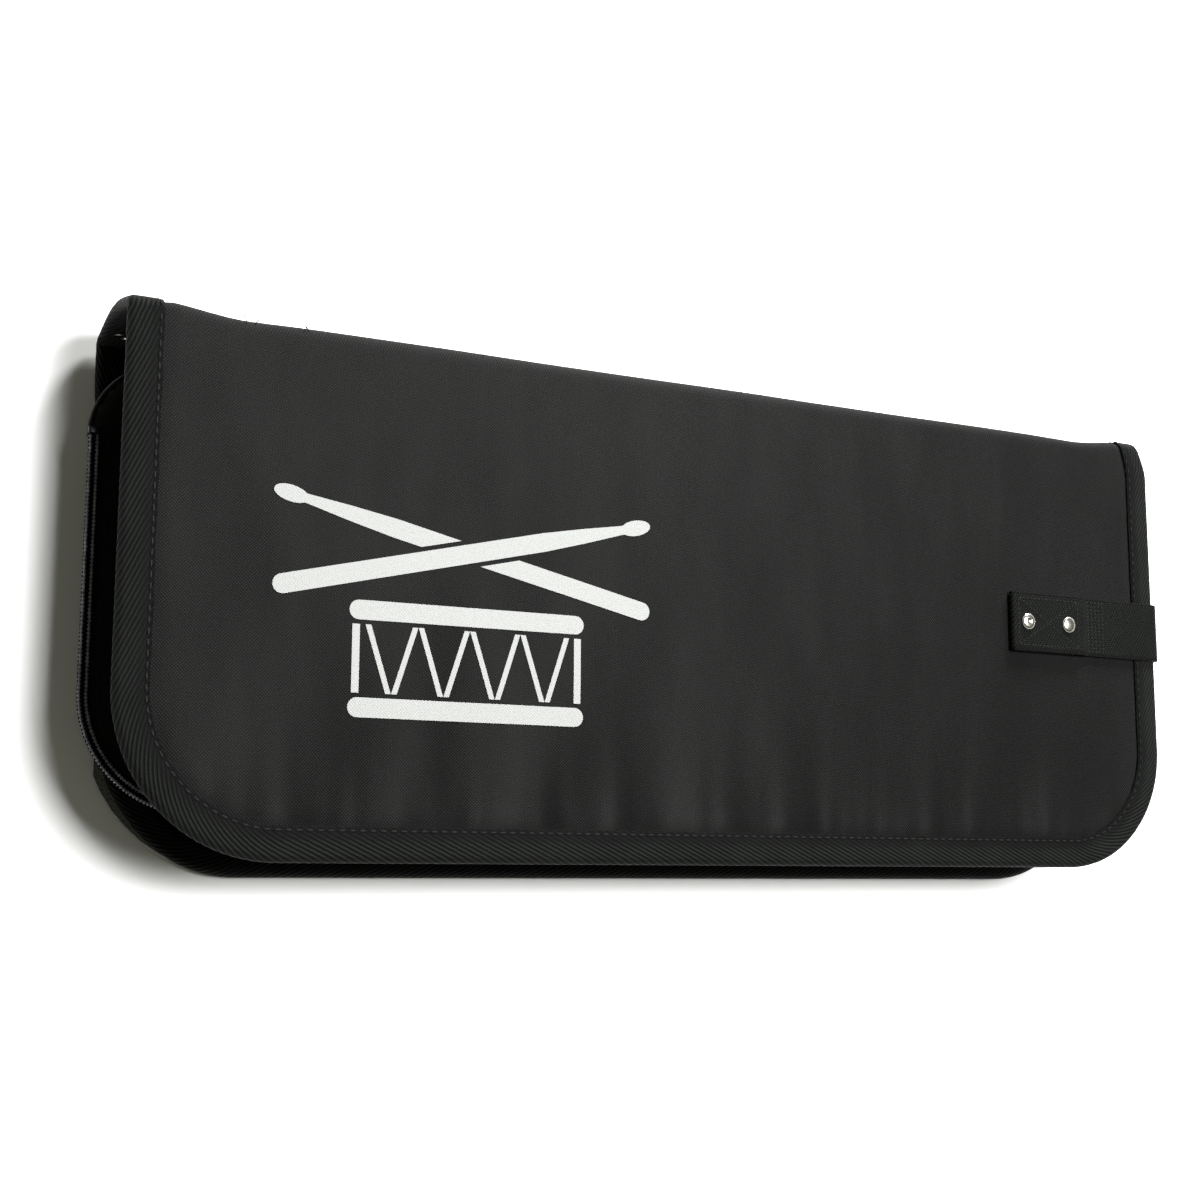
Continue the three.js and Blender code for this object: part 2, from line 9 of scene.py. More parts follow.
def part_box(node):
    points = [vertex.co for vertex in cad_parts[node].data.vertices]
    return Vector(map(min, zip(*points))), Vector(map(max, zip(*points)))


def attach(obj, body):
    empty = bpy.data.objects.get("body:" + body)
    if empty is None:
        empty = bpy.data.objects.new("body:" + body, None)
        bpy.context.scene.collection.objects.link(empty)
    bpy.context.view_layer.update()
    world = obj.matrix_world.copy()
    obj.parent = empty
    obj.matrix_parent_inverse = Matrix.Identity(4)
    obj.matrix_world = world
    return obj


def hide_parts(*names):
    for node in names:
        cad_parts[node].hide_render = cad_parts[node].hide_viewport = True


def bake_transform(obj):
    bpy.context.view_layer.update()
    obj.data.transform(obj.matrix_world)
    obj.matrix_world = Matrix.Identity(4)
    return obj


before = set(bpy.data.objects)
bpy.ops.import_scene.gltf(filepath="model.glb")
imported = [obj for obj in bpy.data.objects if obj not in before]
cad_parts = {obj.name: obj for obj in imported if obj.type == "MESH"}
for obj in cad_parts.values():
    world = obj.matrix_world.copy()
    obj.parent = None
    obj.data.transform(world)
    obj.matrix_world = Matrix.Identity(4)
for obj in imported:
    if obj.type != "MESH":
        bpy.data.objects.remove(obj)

bl_info = {
    "name": "Drum stick bag",
    "version": (1, 0, 0),
    "blender": (4, 5, 0),
    "location": "View3D > Sidebar > Stick bag",
    "description": "Builds the cloth, tape, zip, webbing and metal of a drum stick bag round its frame",
    "category": "Object",
}

MM = 0.001
HALF_TURN = math.pi
QUARTER_TURN = math.pi / 2

# ---- Places that come from the frame -------------------------------------------------------

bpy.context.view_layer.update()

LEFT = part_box("front_binding")[0].x
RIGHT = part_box("front_binding")[1].x
FRONT_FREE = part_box("front_binding")[0].y
BACK_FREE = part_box("back_binding")[0].y
FOLD_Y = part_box("front_binding")[1].y
SPINE_LOW, SPINE_HIGH = (corner.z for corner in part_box("spine_cover"))
SPINE_INNER_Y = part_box("spine_lining")[0].y
SPINE_OUTER_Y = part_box("spine_cover")[1].y
FRONT_LOW_Z, FRONT_TOP_Z = (corner.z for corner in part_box("front_binding"))
FRONT_MID_Z = (FRONT_LOW_Z + FRONT_TOP_Z) / 2
BACK_MID_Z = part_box("back_binding")[1].z / 2
FABRIC = FRONT_TOP_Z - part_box("front_cover")[0].z
FACE = (FRONT_TOP_Z - FRONT_LOW_Z) / 2          # from the middle of a leaf to its outer face
FOLD_RADIUS = (SPINE_INNER_Y + SPINE_OUTER_Y) / 2 - FOLD_Y

LEFT_CORNER = 58 * MM
RIGHT_CORNER = 52 * MM
TAPE_REACH = 12.5 * MM                          # how far the binding reaches in from the edge

Leaf = namedtuple("Leaf", "name body free_y mid_z up crease_z spine_end")
FRONT = Leaf("front", "front_leaf", FRONT_FREE, FRONT_MID_Z, 1, SPINE_HIGH, SPINE_LOW)
BACK = Leaf("back", "back_leaf", BACK_FREE, BACK_MID_Z, -1, SPINE_LOW, SPINE_LOW)


# ---- Settings ------------------------------------------------------------------------------


class StickBagSizes(bpy.types.PropertyGroup):
    crown: bpy.props.FloatProperty(
        name="Cover crown", description="How far the padding lifts the middle of a leaf",
        default=0.8 * MM, unit="LENGTH")
    pucker: bpy.props.FloatProperty(
        name="Pucker", description="Height of the small puckers that the binding draws into the cloth",
        default=1.2 * MM, unit="LENGTH")
    flare: bpy.props.FloatProperty(
        name="Fold flare", description="How far the fold stands out at the two ends of the bag",
        default=5.0 * MM, unit="LENGTH")
    tape: bpy.props.FloatProperty(
        name="Tape thickness", description="Thickness of the binding tape",
        default=0.55 * MM, unit="LENGTH")
    webbing: bpy.props.FloatProperty(
        name="Webbing thickness", description="Thickness of the strap and the tab",
        default=1.5 * MM, unit="LENGTH")
    stitch_pitch: bpy.props.FloatProperty(
        name="Stitch pitch", description="Distance from one stitch to the next",
        default=3.8 * MM, unit="LENGTH")
    tooth_pitch: bpy.props.FloatProperty(
        name="Tooth pitch", description="Distance from one zip tooth to the next on the same tape",
        default=1.4 * MM, unit="LENGTH")
    pillow: bpy.props.FloatProperty(
        name="Pocket fullness", description="How far the middle of the pocket stands above its rim",
        default=2.2 * MM, unit="LENGTH")


class StickBagFinishes(bpy.types.PropertyGroup):
    cover: bpy.props.FloatVectorProperty(
        name="Cover", description="Colour of the outside cloth", subtype="COLOR",
        size=4, default=(0.0100, 0.0097, 0.0096, 1))
    lining: bpy.props.FloatVectorProperty(
        name="Lining", description="Colour of the inside cloth", subtype="COLOR",
        size=4, default=(0.0060, 0.0060, 0.0062, 1))
    binding: bpy.props.FloatVectorProperty(
        name="Binding", description="Colour of the edge tape", subtype="COLOR",
        size=4, default=(0.0042, 0.0048, 0.0043, 1))
    webbing: bpy.props.FloatVectorProperty(
        name="Webbing", description="Colour of the strap and the tab", subtype="COLOR",
        size=4, default=(0.0024, 0.0029, 0.0024, 1))
    thread: bpy.props.FloatVectorProperty(
        name="Thread", description="Colour of the sewing thread", subtype="COLOR",
        size=4, default=(0.0095, 0.0105, 0.0095, 1))
    print_ink: bpy.props.FloatVectorProperty(
        name="Print", description="Colour of the screen print", subtype="COLOR",
        size=4, default=(0.275, 0.28, 0.273, 1))
    coil: bpy.props.FloatVectorProperty(
        name="Zip coil", description="Colour of the zip teeth", subtype="COLOR",
        size=4, default=(0.110, 0.112, 0.125, 1))
    zip_metal: bpy.props.FloatVectorProperty(
        name="Zip metal", description="Colour of the slider and its pull", subtype="COLOR",
        size=4, default=(0.045, 0.045, 0.050, 1))
    nickel: bpy.props.FloatVectorProperty(
        name="Nickel", description="Colour of the rivets and the eyelet", subtype="COLOR",
        size=4, default=(0.78, 0.76, 0.71, 1))
    foam: bpy.props.FloatVectorProperty(
        name="Foam", description="Colour of the padding", subtype="COLOR",
        size=4, default=(0.10, 0.10, 0.10, 1))
    floor: bpy.props.FloatVectorProperty(
        name="Floor", description="Colour of the surface the bag lies on", subtype="COLOR",
        size=4, default=(0.90, 0.90, 0.90, 1))


def sizes():
    return bpy.context.scene.stick_bag_sizes


def colours():
    return bpy.context.scene.stick_bag_finishes


# ---- Shader maths --------------------------------------------------------------------------


class Shade:
    """A shader socket. Python's operators on it add Math nodes."""

    def __init__(self, nodes, socket):
        self.nodes = nodes
        self.socket = socket

    def math(self, operation, *others):
        return self.nodes.node(
            "ShaderNodeMath", {"operation": operation}, dict(enumerate([self, *others])))

    def __add__(self, other):
        return self.math("ADD", other)

    def __sub__(self, other):
        return self.math("SUBTRACT", other)

    def __mul__(self, other):
        return self.math("MULTIPLY", other)

    def __rsub__(self, other):
        return self.nodes.node("ShaderNodeMath", {"operation": "SUBTRACT"}, {0: other, 1: self})

    __radd__ = __add__
    __rmul__ = __mul__

    def sine(self):
        return self.math("SINE")

    def size(self):
        return self.math("ABSOLUTE")

    def ramp(self, low, high):
        """0 below low and 1 above high, with a smooth rise between them."""
        return self.nodes.node(
            "ShaderNodeMapRange", {"interpolation_type": "SMOOTHSTEP"},
            {"Value": self, "From Min": low, "From Max": high})


class Nodes:
    """A node tree under construction: one shader and the nodes that feed it."""

    def __init__(self, tree, shader):
        self.tree = tree
        self.shader = tree.nodes[shader]

    def node(self, kind, settings=None, inputs=None, output=0):
        made = self.tree.nodes.new(kind)
        for key, value in (settings or {}).items():
            setattr(made, key, value)
        for key, value in (inputs or {}).items():
            if isinstance(value, Shade):
                self.tree.links.new(value.socket, made.inputs[key])
            else:
                made.inputs[key].default_value = value
        return Shade(self, made.outputs[output])

    def split(self, vector):
        parts = self.node("ShaderNodeSeparateXYZ", inputs={0: vector}).socket.node
        return [Shade(self, parts.outputs[axis]) for axis in "XYZ"]

    def mix(self, factor, first, second):
        return self.node(
            "ShaderNodeMix", {"data_type": "RGBA"}, {0: factor, 6: first, 7: second}, output=2)

    def feed(self, socket, value):
        self.tree.links.new(value.socket, self.shader.inputs[socket])


class Finish(Nodes):
    """A material under construction. Constants go straight to the shader's own sockets."""

    def __init__(self, name, roughness, **constants):
        self.material = bpy.data.materials.new(f"finish_{name}")
        self.material.use_nodes = True
        super().__init__(self.material.node_tree, "Principled BSDF")
        self.shader.inputs["Roughness"].default_value = roughness
        for socket, value in constants.items():
            self.shader.inputs[socket.replace("_", " ")].default_value = value

    def object_place(self):
        return self.node("ShaderNodeTexCoord", output="Object")

    def cloth_place(self):
        """The place on the flat cloth, in millimetres."""
        flat = self.node("ShaderNodeUVMap", {"uv_map": "Cloth"})
        return self.node("ShaderNodeVectorMath", {"operation": "SCALE"}, {0: flat, "Scale": 1 / MM})

    def mottle(self, place, scale, detail=3.0, roughness=0.55):
        return self.node("ShaderNodeTexNoise", inputs={
            "Vector": place, "Scale": scale, "Detail": detail, "Roughness": roughness})

    def bump(self, height, distance, strength=1.0):
        self.feed("Normal", self.node("ShaderNodeBump", inputs={
            "Height": height, "Distance": distance, "Strength": strength}))


def tint(colour, factor):
    """A colour made lighter or darker, with its alpha kept."""
    return (*(channel * factor for channel in colour[:3]), 1)


def wave(value, pitch):
    """A sine of one turn for each pitch, from 0 to 1."""
    return (value * (2 * math.pi / pitch)).sine() * 0.5 + 0.5


# ---- Finishes ------------------------------------------------------------------------------


def diagonal_cloth(name, colour, pitch, relief, roughness, contrast):
    """Plain-woven nylon laid on the bias: a diamond grid of tiny bumps, faintly mottled."""
    made = Finish(name, roughness, Sheen_Weight=0.03, Sheen_Roughness=0.5, Specular_IOR_Level=0.03)
    place = made.cloth_place()
    u, v, _ = made.split(place)
    wander = made.mottle(place, 0.12) * 0.9
    rising = wave(u + v * 0.93 + wander, pitch)
    falling = wave(u * 0.96 - v + wander, pitch)
    diamonds = rising * falling
    threads = made.mottle(place, 1.6, 2.0)
    patches = made.mottle(made.node(
        "ShaderNodeMapping", inputs={"Vector": place, "Scale": (0.05, 0.016, 0.05)}), 1.0, 3.0)
    # The Shade attribute carries painted shade in the creases and painted light; cloth without it reads
    # 0.
    shade = made.node("ShaderNodeAttribute", {"attribute_name": "Shade"}, output="Fac")
    light = diamonds * 0.7 + threads * 0.45 + (patches - 0.5) * 0.5 + shade
    made.feed("Base Color", made.mix(
        light.ramp(-0.1, 1.0), tint(colour, 1 - contrast), tint(colour, 1 + contrast)))
    made.feed("Roughness", patches * 0.16 + (roughness - 0.1))
    made.bump(diamonds + threads * 0.35, relief)
    return made.material


def cover_cloth():
    return diagonal_cloth("cover_cloth", colours().cover, 1.15, 0.14 * MM, 0.75, 0.65)


def lining_cloth():
    return diagonal_cloth("lining_cloth", colours().lining, 0.9, 0.06 * MM, 0.7, 0.3)


def binding_tape():
    """Twill tape: slanting ribs that stand out near the edge and flatten towards the stitching."""
    colour = colours().binding
    made = Finish("binding_tape", 0.7, Sheen_Weight=0.03, Sheen_Roughness=0.45, Specular_IOR_Level=0.03)
    place = made.cloth_place()
    along, across, _ = made.split(place)
    slant = across * 0.9 + along * 0.43
    wander = made.mottle(place, 0.5) * 0.5
    rib = wave(slant + wander, 1.45)
    near_edge = (across.size() * -1).ramp(-10.5, -7.5) * 0.65 + 0.35
    strands = wave(along * 0.9 - across * 0.43, 0.8)
    wear = made.mottle(place, 0.05, 4.0)
    raised = rib * near_edge
    # Painted shade: a darker band along each hem, where the cover tucks under the tape.
    seam = across.size().ramp(11.6, 12.3)
    fuzz = made.mottle(place, 2.2)
    light = raised * 0.75 + strands * 0.2 + (wear - 0.5) * 0.5 + fuzz * 0.25 - seam * 0.35
    made.feed("Base Color", made.mix(light.ramp(0.0, 1.1), tint(colour, 0.25), tint(colour, 2.1)))
    made.feed("Roughness", wear * 0.2 + 0.5)
    made.bump(raised + strands * 0.1, 0.3 * MM)
    return made.material


def webbing():
    """Dense strap webbing: a fine slanting weave with cross ribs and a tighter edge."""
    colour = colours().webbing
    made = Finish("webbing", 0.65, Sheen_Weight=0.02, Sheen_Roughness=0.5, Specular_IOR_Level=0.03)
    place = made.cloth_place()
    along, across, _ = made.split(place)
    slant = wave(along * 0.83 - across * 0.56, 1.25)
    ends = wave(across, 0.85)
    selvedge = across.size().ramp(11.0, 11.8)
    wear = made.mottle(place, 0.09, 4.0)
    weave = slant * 0.65 + ends * 0.35
    light = weave + (wear - 0.5) * 0.6 - selvedge * 0.25
    made.feed("Base Color", made.mix(light.ramp(0.0, 1.1), tint(colour, 0.12), tint(colour, 2.5)))
    made.feed("Roughness", wear * 0.2 + 0.45)
    made.bump(weave - selvedge * 0.3, 0.3 * MM)
    return made.material


def zip_tape():
    """Thin tape with a chevron weave."""
    colour = tint(colours().lining, 1.1)
    made = Finish("zip_tape", 0.75, Specular_IOR_Level=0.03)
    place = made.cloth_place()
    along, across, _ = made.split(place)
    chevron = wave(along + across.size() * 0.9, 0.9)
    cross = wave(across, 0.55)
    light = chevron * 0.6 + cross * 0.2 + made.mottle(place, 0.8) * 0.3
    made.feed("Base Color", made.mix(light, tint(colour, 0.6), tint(colour, 1.6)))
    made.bump(chevron + cross * 0.4, 0.1 * MM)
    return made.material


def thread():
    """Twisted sewing thread."""
    colour = colours().thread
    made = Finish("thread", 0.6, Specular_IOR_Level=0.06)
    place = made.object_place()
    twist = made.mottle(place, 2600, 2.0)
    made.feed("Base Color", made.mix(twist.ramp(0.3, 0.7), tint(colour, 0.6), tint(colour, 1.5)))
    made.bump(twist, 0.05 * MM)
    return made.material


def print_ink():
    """Screen print: opaque white ink with the weave showing through as fine specks."""
    colour = colours().print_ink
    made = Finish("print_ink", 0.55, Specular_IOR_Level=0.3)
    place = made.cloth_place()
    u, v, _ = made.split(place)
    grain = wave(u + v * 0.93, 1.2) * wave(u * 0.96 - v, 1.2)
    specks = made.mottle(place, 1.1, 4.0, 0.7)
    worn = grain * 0.35 + specks
    made.feed("Base Color", made.mix(worn.ramp(0.28, 0.62), tint(colour, 0.72), colour))
    made.feed("Roughness", specks * 0.2 + 0.45)
    made.bump(grain, 0.06 * MM)
    return made.material


def padding_foam():
    """Foam with fine open cells."""
    colour = colours().foam
    made = Finish("padding_foam", 0.95)
    place = made.object_place()
    cells = made.node("ShaderNodeTexVoronoi", inputs={"Vector": place, "Scale": 900.0})
    made.feed("Base Color", made.mix(cells.ramp(0.0, 0.6), tint(colour, 0.5), tint(colour, 1.2)))
    made.bump(cells, 0.2 * MM)
    return made.material


def zip_coil():
    """Moulded nylon, glossy and a little clouded."""
    colour = colours().coil
    made = Finish("zip_coil", 0.33, Specular_IOR_Level=0.6)
    cloud = made.mottle(made.object_place(), 300)
    made.feed("Base Color", made.mix(cloud.ramp(0.3, 0.7), tint(colour, 0.7), tint(colour, 1.5)))
    made.feed("Roughness", cloud * 0.2 + 0.24)
    return made.material


def metal(name, colour, base, spread, scratch):
    """Plated metal with faint clouding and fine scratches."""
    made = Finish(name, base, Metallic=1.0)
    place = made.object_place()
    cloud = made.mottle(place, 420)
    lines = made.mottle(
        made.node("ShaderNodeMapping", inputs={"Vector": place, "Scale": (300, 5000, 900)}), 1.0, 2.0)
    made.feed("Base Color", made.mix(cloud.ramp(0.25, 0.75), tint(colour, 0.82), tint(colour, 1.1)))
    made.feed("Roughness", cloud * spread + lines * 0.08 + (base - spread / 2))
    made.bump(lines, scratch)
    return made.material


def zip_metal():
    return metal("zip_metal", colours().zip_metal, 0.34, 0.2, 0.01 * MM)


def nickel():
    return metal("nickel", colours().nickel, 0.2, 0.12, 0.004 * MM)


def pile(name, colour, scale, depth):
    """The fuzzy face of a hook or loop patch."""
    made = Finish(name, 0.85, Sheen_Weight=0.03, Specular_IOR_Level=0.05)
    place = made.object_place()
    tufts = made.node("ShaderNodeTexVoronoi", inputs={"Vector": place, "Scale": scale})
    fuzz = made.mottle(place, scale * 2.4)
    light = tufts * 0.7 + fuzz * 0.5
    made.feed("Base Color", made.mix(light, tint(colour, 1.9), tint(colour, 0.4)))
    made.bump(1 - light, depth)
    return made.material


def loop_pile():
    return pile("loop_pile", colours().lining, 1500, 0.4 * MM)


def hook_base():
    return pile("hook_base", colours().lining, 700, 0.15 * MM)


def floor_paint():
    """Matt white paint that glows faintly far out, where the lights don't reach."""
    colour = colours().floor
    made = Finish("floor_paint", 0.8, Specular_IOR_Level=0.1, Emission_Strength=1.0)
    place = made.object_place()
    cloud = made.mottle(place, 3.0)
    made.feed("Base Color", made.mix(cloud, tint(colour, 0.99), colour))
    far = made.node("ShaderNodeVectorMath", {"operation": "LENGTH"}, {0: place}, output="Value")
    made.feed("Emission Color", made.mix(far.ramp(0.6, 1.7), (0, 0, 0, 1), (0.95, 0.95, 0.95, 1)))
    return made.material


FINISHES = (
    cover_cloth, lining_cloth, binding_tape, webbing, zip_tape, thread, print_ink, padding_foam,
    zip_coil, zip_metal, nickel, loop_pile, hook_base, floor_paint,
)


def material(name):
    """The material of that name, made when it is first asked for."""
    makers = {maker.__name__: maker for maker in FINISHES}
    return bpy.data.materials.get(f"finish_{name}") or makers[name]()


# ---- Mesh helpers --------------------------------------------------------------------------


def ramp(value, low, high):
    """0 below low and 1 above high, with a smooth rise between them."""
    t = min(max((value - low) / (high - low), 0.0), 1.0)
    return t * t * (3 - 2 * t)


def ripple(x, y, size, seed=0.0):
    """Smooth noise between about -1 and 1, with lumps of the given size."""
    return noise.noise(Vector((x / size, y / size, seed)))


def spread(low, high, step):
    """Evenly spaced values from low to high, about a step apart."""
    count = max(1, round(abs(high - low) / step))
    return [low + (high - low) * i / count for i in range(count + 1)]


def running_lengths(points):
    """How far along a line each of its points is."""
    lengths = [0.0]
    for before, after in zip(points, points[1:]):
        lengths.append(lengths[-1] + math.dist(before, after))
    return lengths


def surface(columns, rows, place, flat=None, flip=False, shade=None):
    """A quad sheet. place(i, j) gives each corner, and flat(i, j) where it is on the uncut cloth.

    shade(i, j) is the painted light (above 0) or painted shade (below 0) there.
    """
    bm = bmesh.new()
    cloth = bm.loops.layers.uv.new("Cloth") if flat else None
    painted_light_and_shade = bm.verts.layers.float.new("Shade") if shade else None
    bmesh.ops.create_grid(bm, x_segments=columns, y_segments=rows, size=0.5)
    cells = {
        vert: (round((vert.co.x + 0.5) * columns), round((vert.co.y + 0.5) * rows))
        for vert in bm.verts
    }
    if flat:
        for face in bm.faces:
            for loop in face.loops:
                loop[cloth].uv = flat(*cells[loop.vert])
    if shade:
        for vert, cell in cells.items():
            vert[painted_light_and_shade] = shade(*cell)
    for vert, cell in cells.items():
        vert.co = place(*cell)
    if flip:
        bmesh.ops.reverse_faces(bm, faces=bm.faces)
    return bm


def cut(bm, place, direction, **cleared):
    """Cuts a whole mesh with a plane. clear_outer or clear_inner drops what lies on that side."""
    bmesh.ops.bisect_plane(
        bm, geom=bm.verts[:] + bm.edges[:] + bm.faces[:], dist=1e-7,
        plane_co=place, plane_no=direction, **cleared)


def trim_corner(bm, centre, radius, start, cuts=12):
    """Cuts a square corner round with tangent planes, over the quarter turn after start."""
    for i in range(cuts):
        angle = start + QUARTER_TURN * (i + 0.5) / cuts
        out = Vector((math.cos(angle), math.sin(angle), 0))
        cut(bm, Vector((*centre, 0)) + out * radius, out, clear_outer=True)


def tube(bm, points, radius, sides=8):
    """A round tube along points: one ring of vertices, extruded and turned from point to point."""
    frames = []
    for i, point in enumerate(points):
        ahead = points[min(i + 1, len(points) - 1)] - points[max(i - 1, 0)]
        turn = ahead.to_track_quat("Z", "Y").to_matrix().to_4x4()
        frames.append(Matrix.Translation(point) @ turn)
    made = bmesh.ops.create_circle(bm, cap_ends=True, segments=sides, radius=radius, matrix=frames[0])
    verts = made["verts"]
    edges = list(dict.fromkeys(edge for vert in verts for edge in vert.link_edges))
    faces = list(dict.fromkeys(face for vert in verts for face in vert.link_faces))
    for before, after in zip(frames, frames[1:]):
        step = bmesh.ops.extrude_edge_only(bm, edges=edges)["geom"]
        verts = [item for item in step if isinstance(item, bmesh.types.BMVert)]
        edges = [
            item for item in step
            if isinstance(item, bmesh.types.BMEdge) and all(end in verts for end in item.verts)
        ]
        faces += [item for item in step if isinstance(item, bmesh.types.BMFace)]
        bmesh.ops.transform(bm, matrix=after @ before.inverted(), verts=verts)
    faces += bmesh.ops.edgeloop_fill(bm, edges=edges)["faces"]
    bmesh.ops.recalc_face_normals(bm, faces=faces)


def bead(bm, place, along, up, length, width, height):
    """One stitch or tooth: a small rounded grain that lies along a direction."""
    along = along.normalized()
    side = up.cross(along).normalized()
    turn = Matrix((along, side, along.cross(side))).transposed().to_4x4()
    bmesh.ops.create_icosphere(
        bm, subdivisions=1, radius=0.5,
        matrix=Matrix.Translation(place) @ turn @ Matrix.Diagonal((length, width, height, 1)))


def stitch_line(bm, points, up, pitch, width=0.7 * MM):
    """Stitches in a straight line between two points."""
    start, end = points
    count = max(1, round((end - start).length / pitch))
    for i in range(count):
        bead(bm, start.lerp(end, (i + 0.5) / count), end - start, up, pitch * 0.78, width, width * 0.8)


def rounded_box(bm, low, high, bevel, segments=2):
    """A box between two corners with all its edges rounded."""
    low, high = Vector(low), Vector(high)
    size = high - low
    made = bmesh.ops.create_cube(
        bm, size=1, matrix=Matrix.Translation((low + high) / 2) @ Matrix.Diagonal((*size, 1)))
    edges = list(dict.fromkeys(edge for vert in made["verts"] for edge in vert.link_edges))
    bmesh.ops.bevel(
        bm, geom=edges, offset=bevel, offset_type="OFFSET", segments=segments, profile=0.5,
        affect="EDGES", material=-1)


def lathe(bm, profile, centre, axis, steps=32):
    """Spins a profile of (radius, height) points a full turn about an axis through centre."""
    turn = Vector(axis).to_track_quat("Z", "Y").to_matrix().to_4x4()
    matrix = Matrix.Translation(centre) @ turn
    verts = [bm.verts.new(matrix @ Vector((radius, 0, height))) for radius, height in profile]
    edges = [bm.edges.new(pair) for pair in zip(verts, verts[1:])]
    bmesh.ops.spin(
        bm, geom=verts + edges, cent=centre, axis=Vector(axis), angle=2 * math.pi, steps=steps,
        use_merge=True)
    bmesh.ops.remove_doubles(bm, verts=bm.verts, dist=1e-6)
    bmesh.ops.recalc_face_normals(bm, faces=bm.faces)


def to_mesh(name, bm):
    """Turns a bmesh into a mesh, and frees it."""
    mesh = bpy.data.meshes.new(name)
    bm.to_mesh(mesh)
    bm.free()
    return mesh


def join(bm, part):
    """Moves another bmesh into this one."""
    mesh = to_mesh("part", part)
    bm.from_mesh(mesh)
    bpy.data.meshes.remove(mesh)


def add_object(name, data):
    obj = bpy.data.objects.new(name, data)
    bpy.context.scene.collection.objects.link(obj)
    return obj


def piece(
        name, bm, finish, ride=None, fold=None, stands_for=(), wall=0.0, centred=False,
        bevel=0.0, soft=40):
    """Makes a bmesh an object with its finish. It rides its body, or is baked in place if a fold is
    given.

    A wall grows inwards from the surface, or to both sides of it if centred. Edges sharper than
    soft degrees stay sharp.
    """
    for edge in bm.edges:
        edge.smooth = edge.is_manifold and edge.calc_face_angle() < math.radians(soft)
    for face in bm.faces:
        face.smooth = True
    mesh = to_mesh(name, bm)
    mesh.materials.append(material(finish))
    obj = add_object(name, mesh)
    if wall:
        solid = obj.modifiers.new("Wall", "SOLIDIFY")
        solid.thickness = wall
        solid.offset = 0 if centred else -1
    if bevel:
        edge = obj.modifiers.new("Edge", "BEVEL")
        edge.width = bevel
        edge.segments = 2
        edge.limit_method = "ANGLE"
        edge.angle_limit = math.radians(50)
    if fold:
        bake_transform(obj)
    else:
        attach(obj, ride)
    if stands_for:
        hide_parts(*stands_for)
    return obj


# ---- The two leaves and the spine between them ---------------------------------------------


def edge_distance(x, y, free_y):
    """How far a point of a leaf is from the leaf's nearest free edge."""
    past_left, past_right = LEFT + LEFT_CORNER - x, x - (RIGHT - RIGHT_CORNER)
    if past_left > 0 and y < free_y + LEFT_CORNER:
        return LEFT_CORNER - math.hypot(past_left, free_y + LEFT_CORNER - y)
    if past_right > 0 and y < free_y + RIGHT_CORNER:
        return RIGHT_CORNER - math.hypot(past_right, free_y + RIGHT_CORNER - y)
    return min(x - LEFT, RIGHT - x, y - free_y)


def drawn_creases(x, y, leaf):
    """Creases that run in from the tape along the free edge: fine short ones and broad long ones."""
    edge = edge_distance(x, y, leaf.free_y)
    below = max(y - leaf.free_y - TAPE_REACH, 0)
    seed = 3.1 if leaf is FRONT else 7.7
    fine = ripple(x, y * 0.12, 8 * MM, seed) * math.exp(-below / (14 * MM))
    broad = ripple(x, y * 0.3, 24 * MM, seed + 5) * math.exp(-below / (48 * MM))
    return (fine + 0.8 * broad) * ramp(edge, TAPE_REACH - 3 * MM, TAPE_REACH + 3 * MM)


def painted_cover_shade(x, y, leaf):
    """Painted shade in the creases, painted light on their ridges and towards the fold and the left."""
    # Painted light gradient: lighter towards the fold, darker towards the right.
    painted_light_gradient = 0.12 * y / FOLD_Y - 0.34 * ramp(x, -60 * MM, 190 * MM)
    return min(max(drawn_creases(x, y, leaf) * 0.8, -0.6), 0.25) + painted_light_gradient


def cover_rise(x, y, leaf=FRONT):
    """How far the cover stands above a leaf's outer face: crown, puckers, tuck under the tape."""
    edge = edge_distance(x, y, leaf.free_y)
    seed = 3.1 if leaf is FRONT else 7.7
    crown = sizes().crown * ramp(edge, TAPE_REACH, 70 * MM)
    waves = 0.35 * MM * ripple(x, y, 60 * MM, seed) * ramp(edge, TAPE_REACH, 40 * MM)
    tuck = -0.9 * MM * (1 - ramp(edge, TAPE_REACH - 0.6 * MM, TAPE_REACH + 2.6 * MM))
    return crown + waves + sizes().pucker * drawn_creases(x, y, leaf) + tuck


def lining_rise(x, y, leaf):
    """The same for the lining, which lies slacker."""
    edge = edge_distance(x, y, leaf.free_y)
    slack = 0.3 * MM * ripple(x, y, 24 * MM, 11.0 * leaf.up)
    tuck = -0.35 * MM * (1 - ramp(edge, TAPE_REACH - 2 * MM, TAPE_REACH + 0.8 * MM))
    return slack * ramp(edge, TAPE_REACH, 30 * MM) + tuck


FLARE_FULL, FLARE_GONE = 9 * MM, 44 * MM        # how far the fold's flare reaches in from an end
RIGHT_FLARE = 0.62                              # the right end's share of the left end's flare
SPINE_SAG = 1.1 * MM                            # how far the fold sinks in and down between them
POCKET_DRAW = 4.6 * MM                          # how far the pocket draws in the back leaf's edge
RIGHT_DRAW = 4.5 * MM                           # how far the fold's right end is drawn in


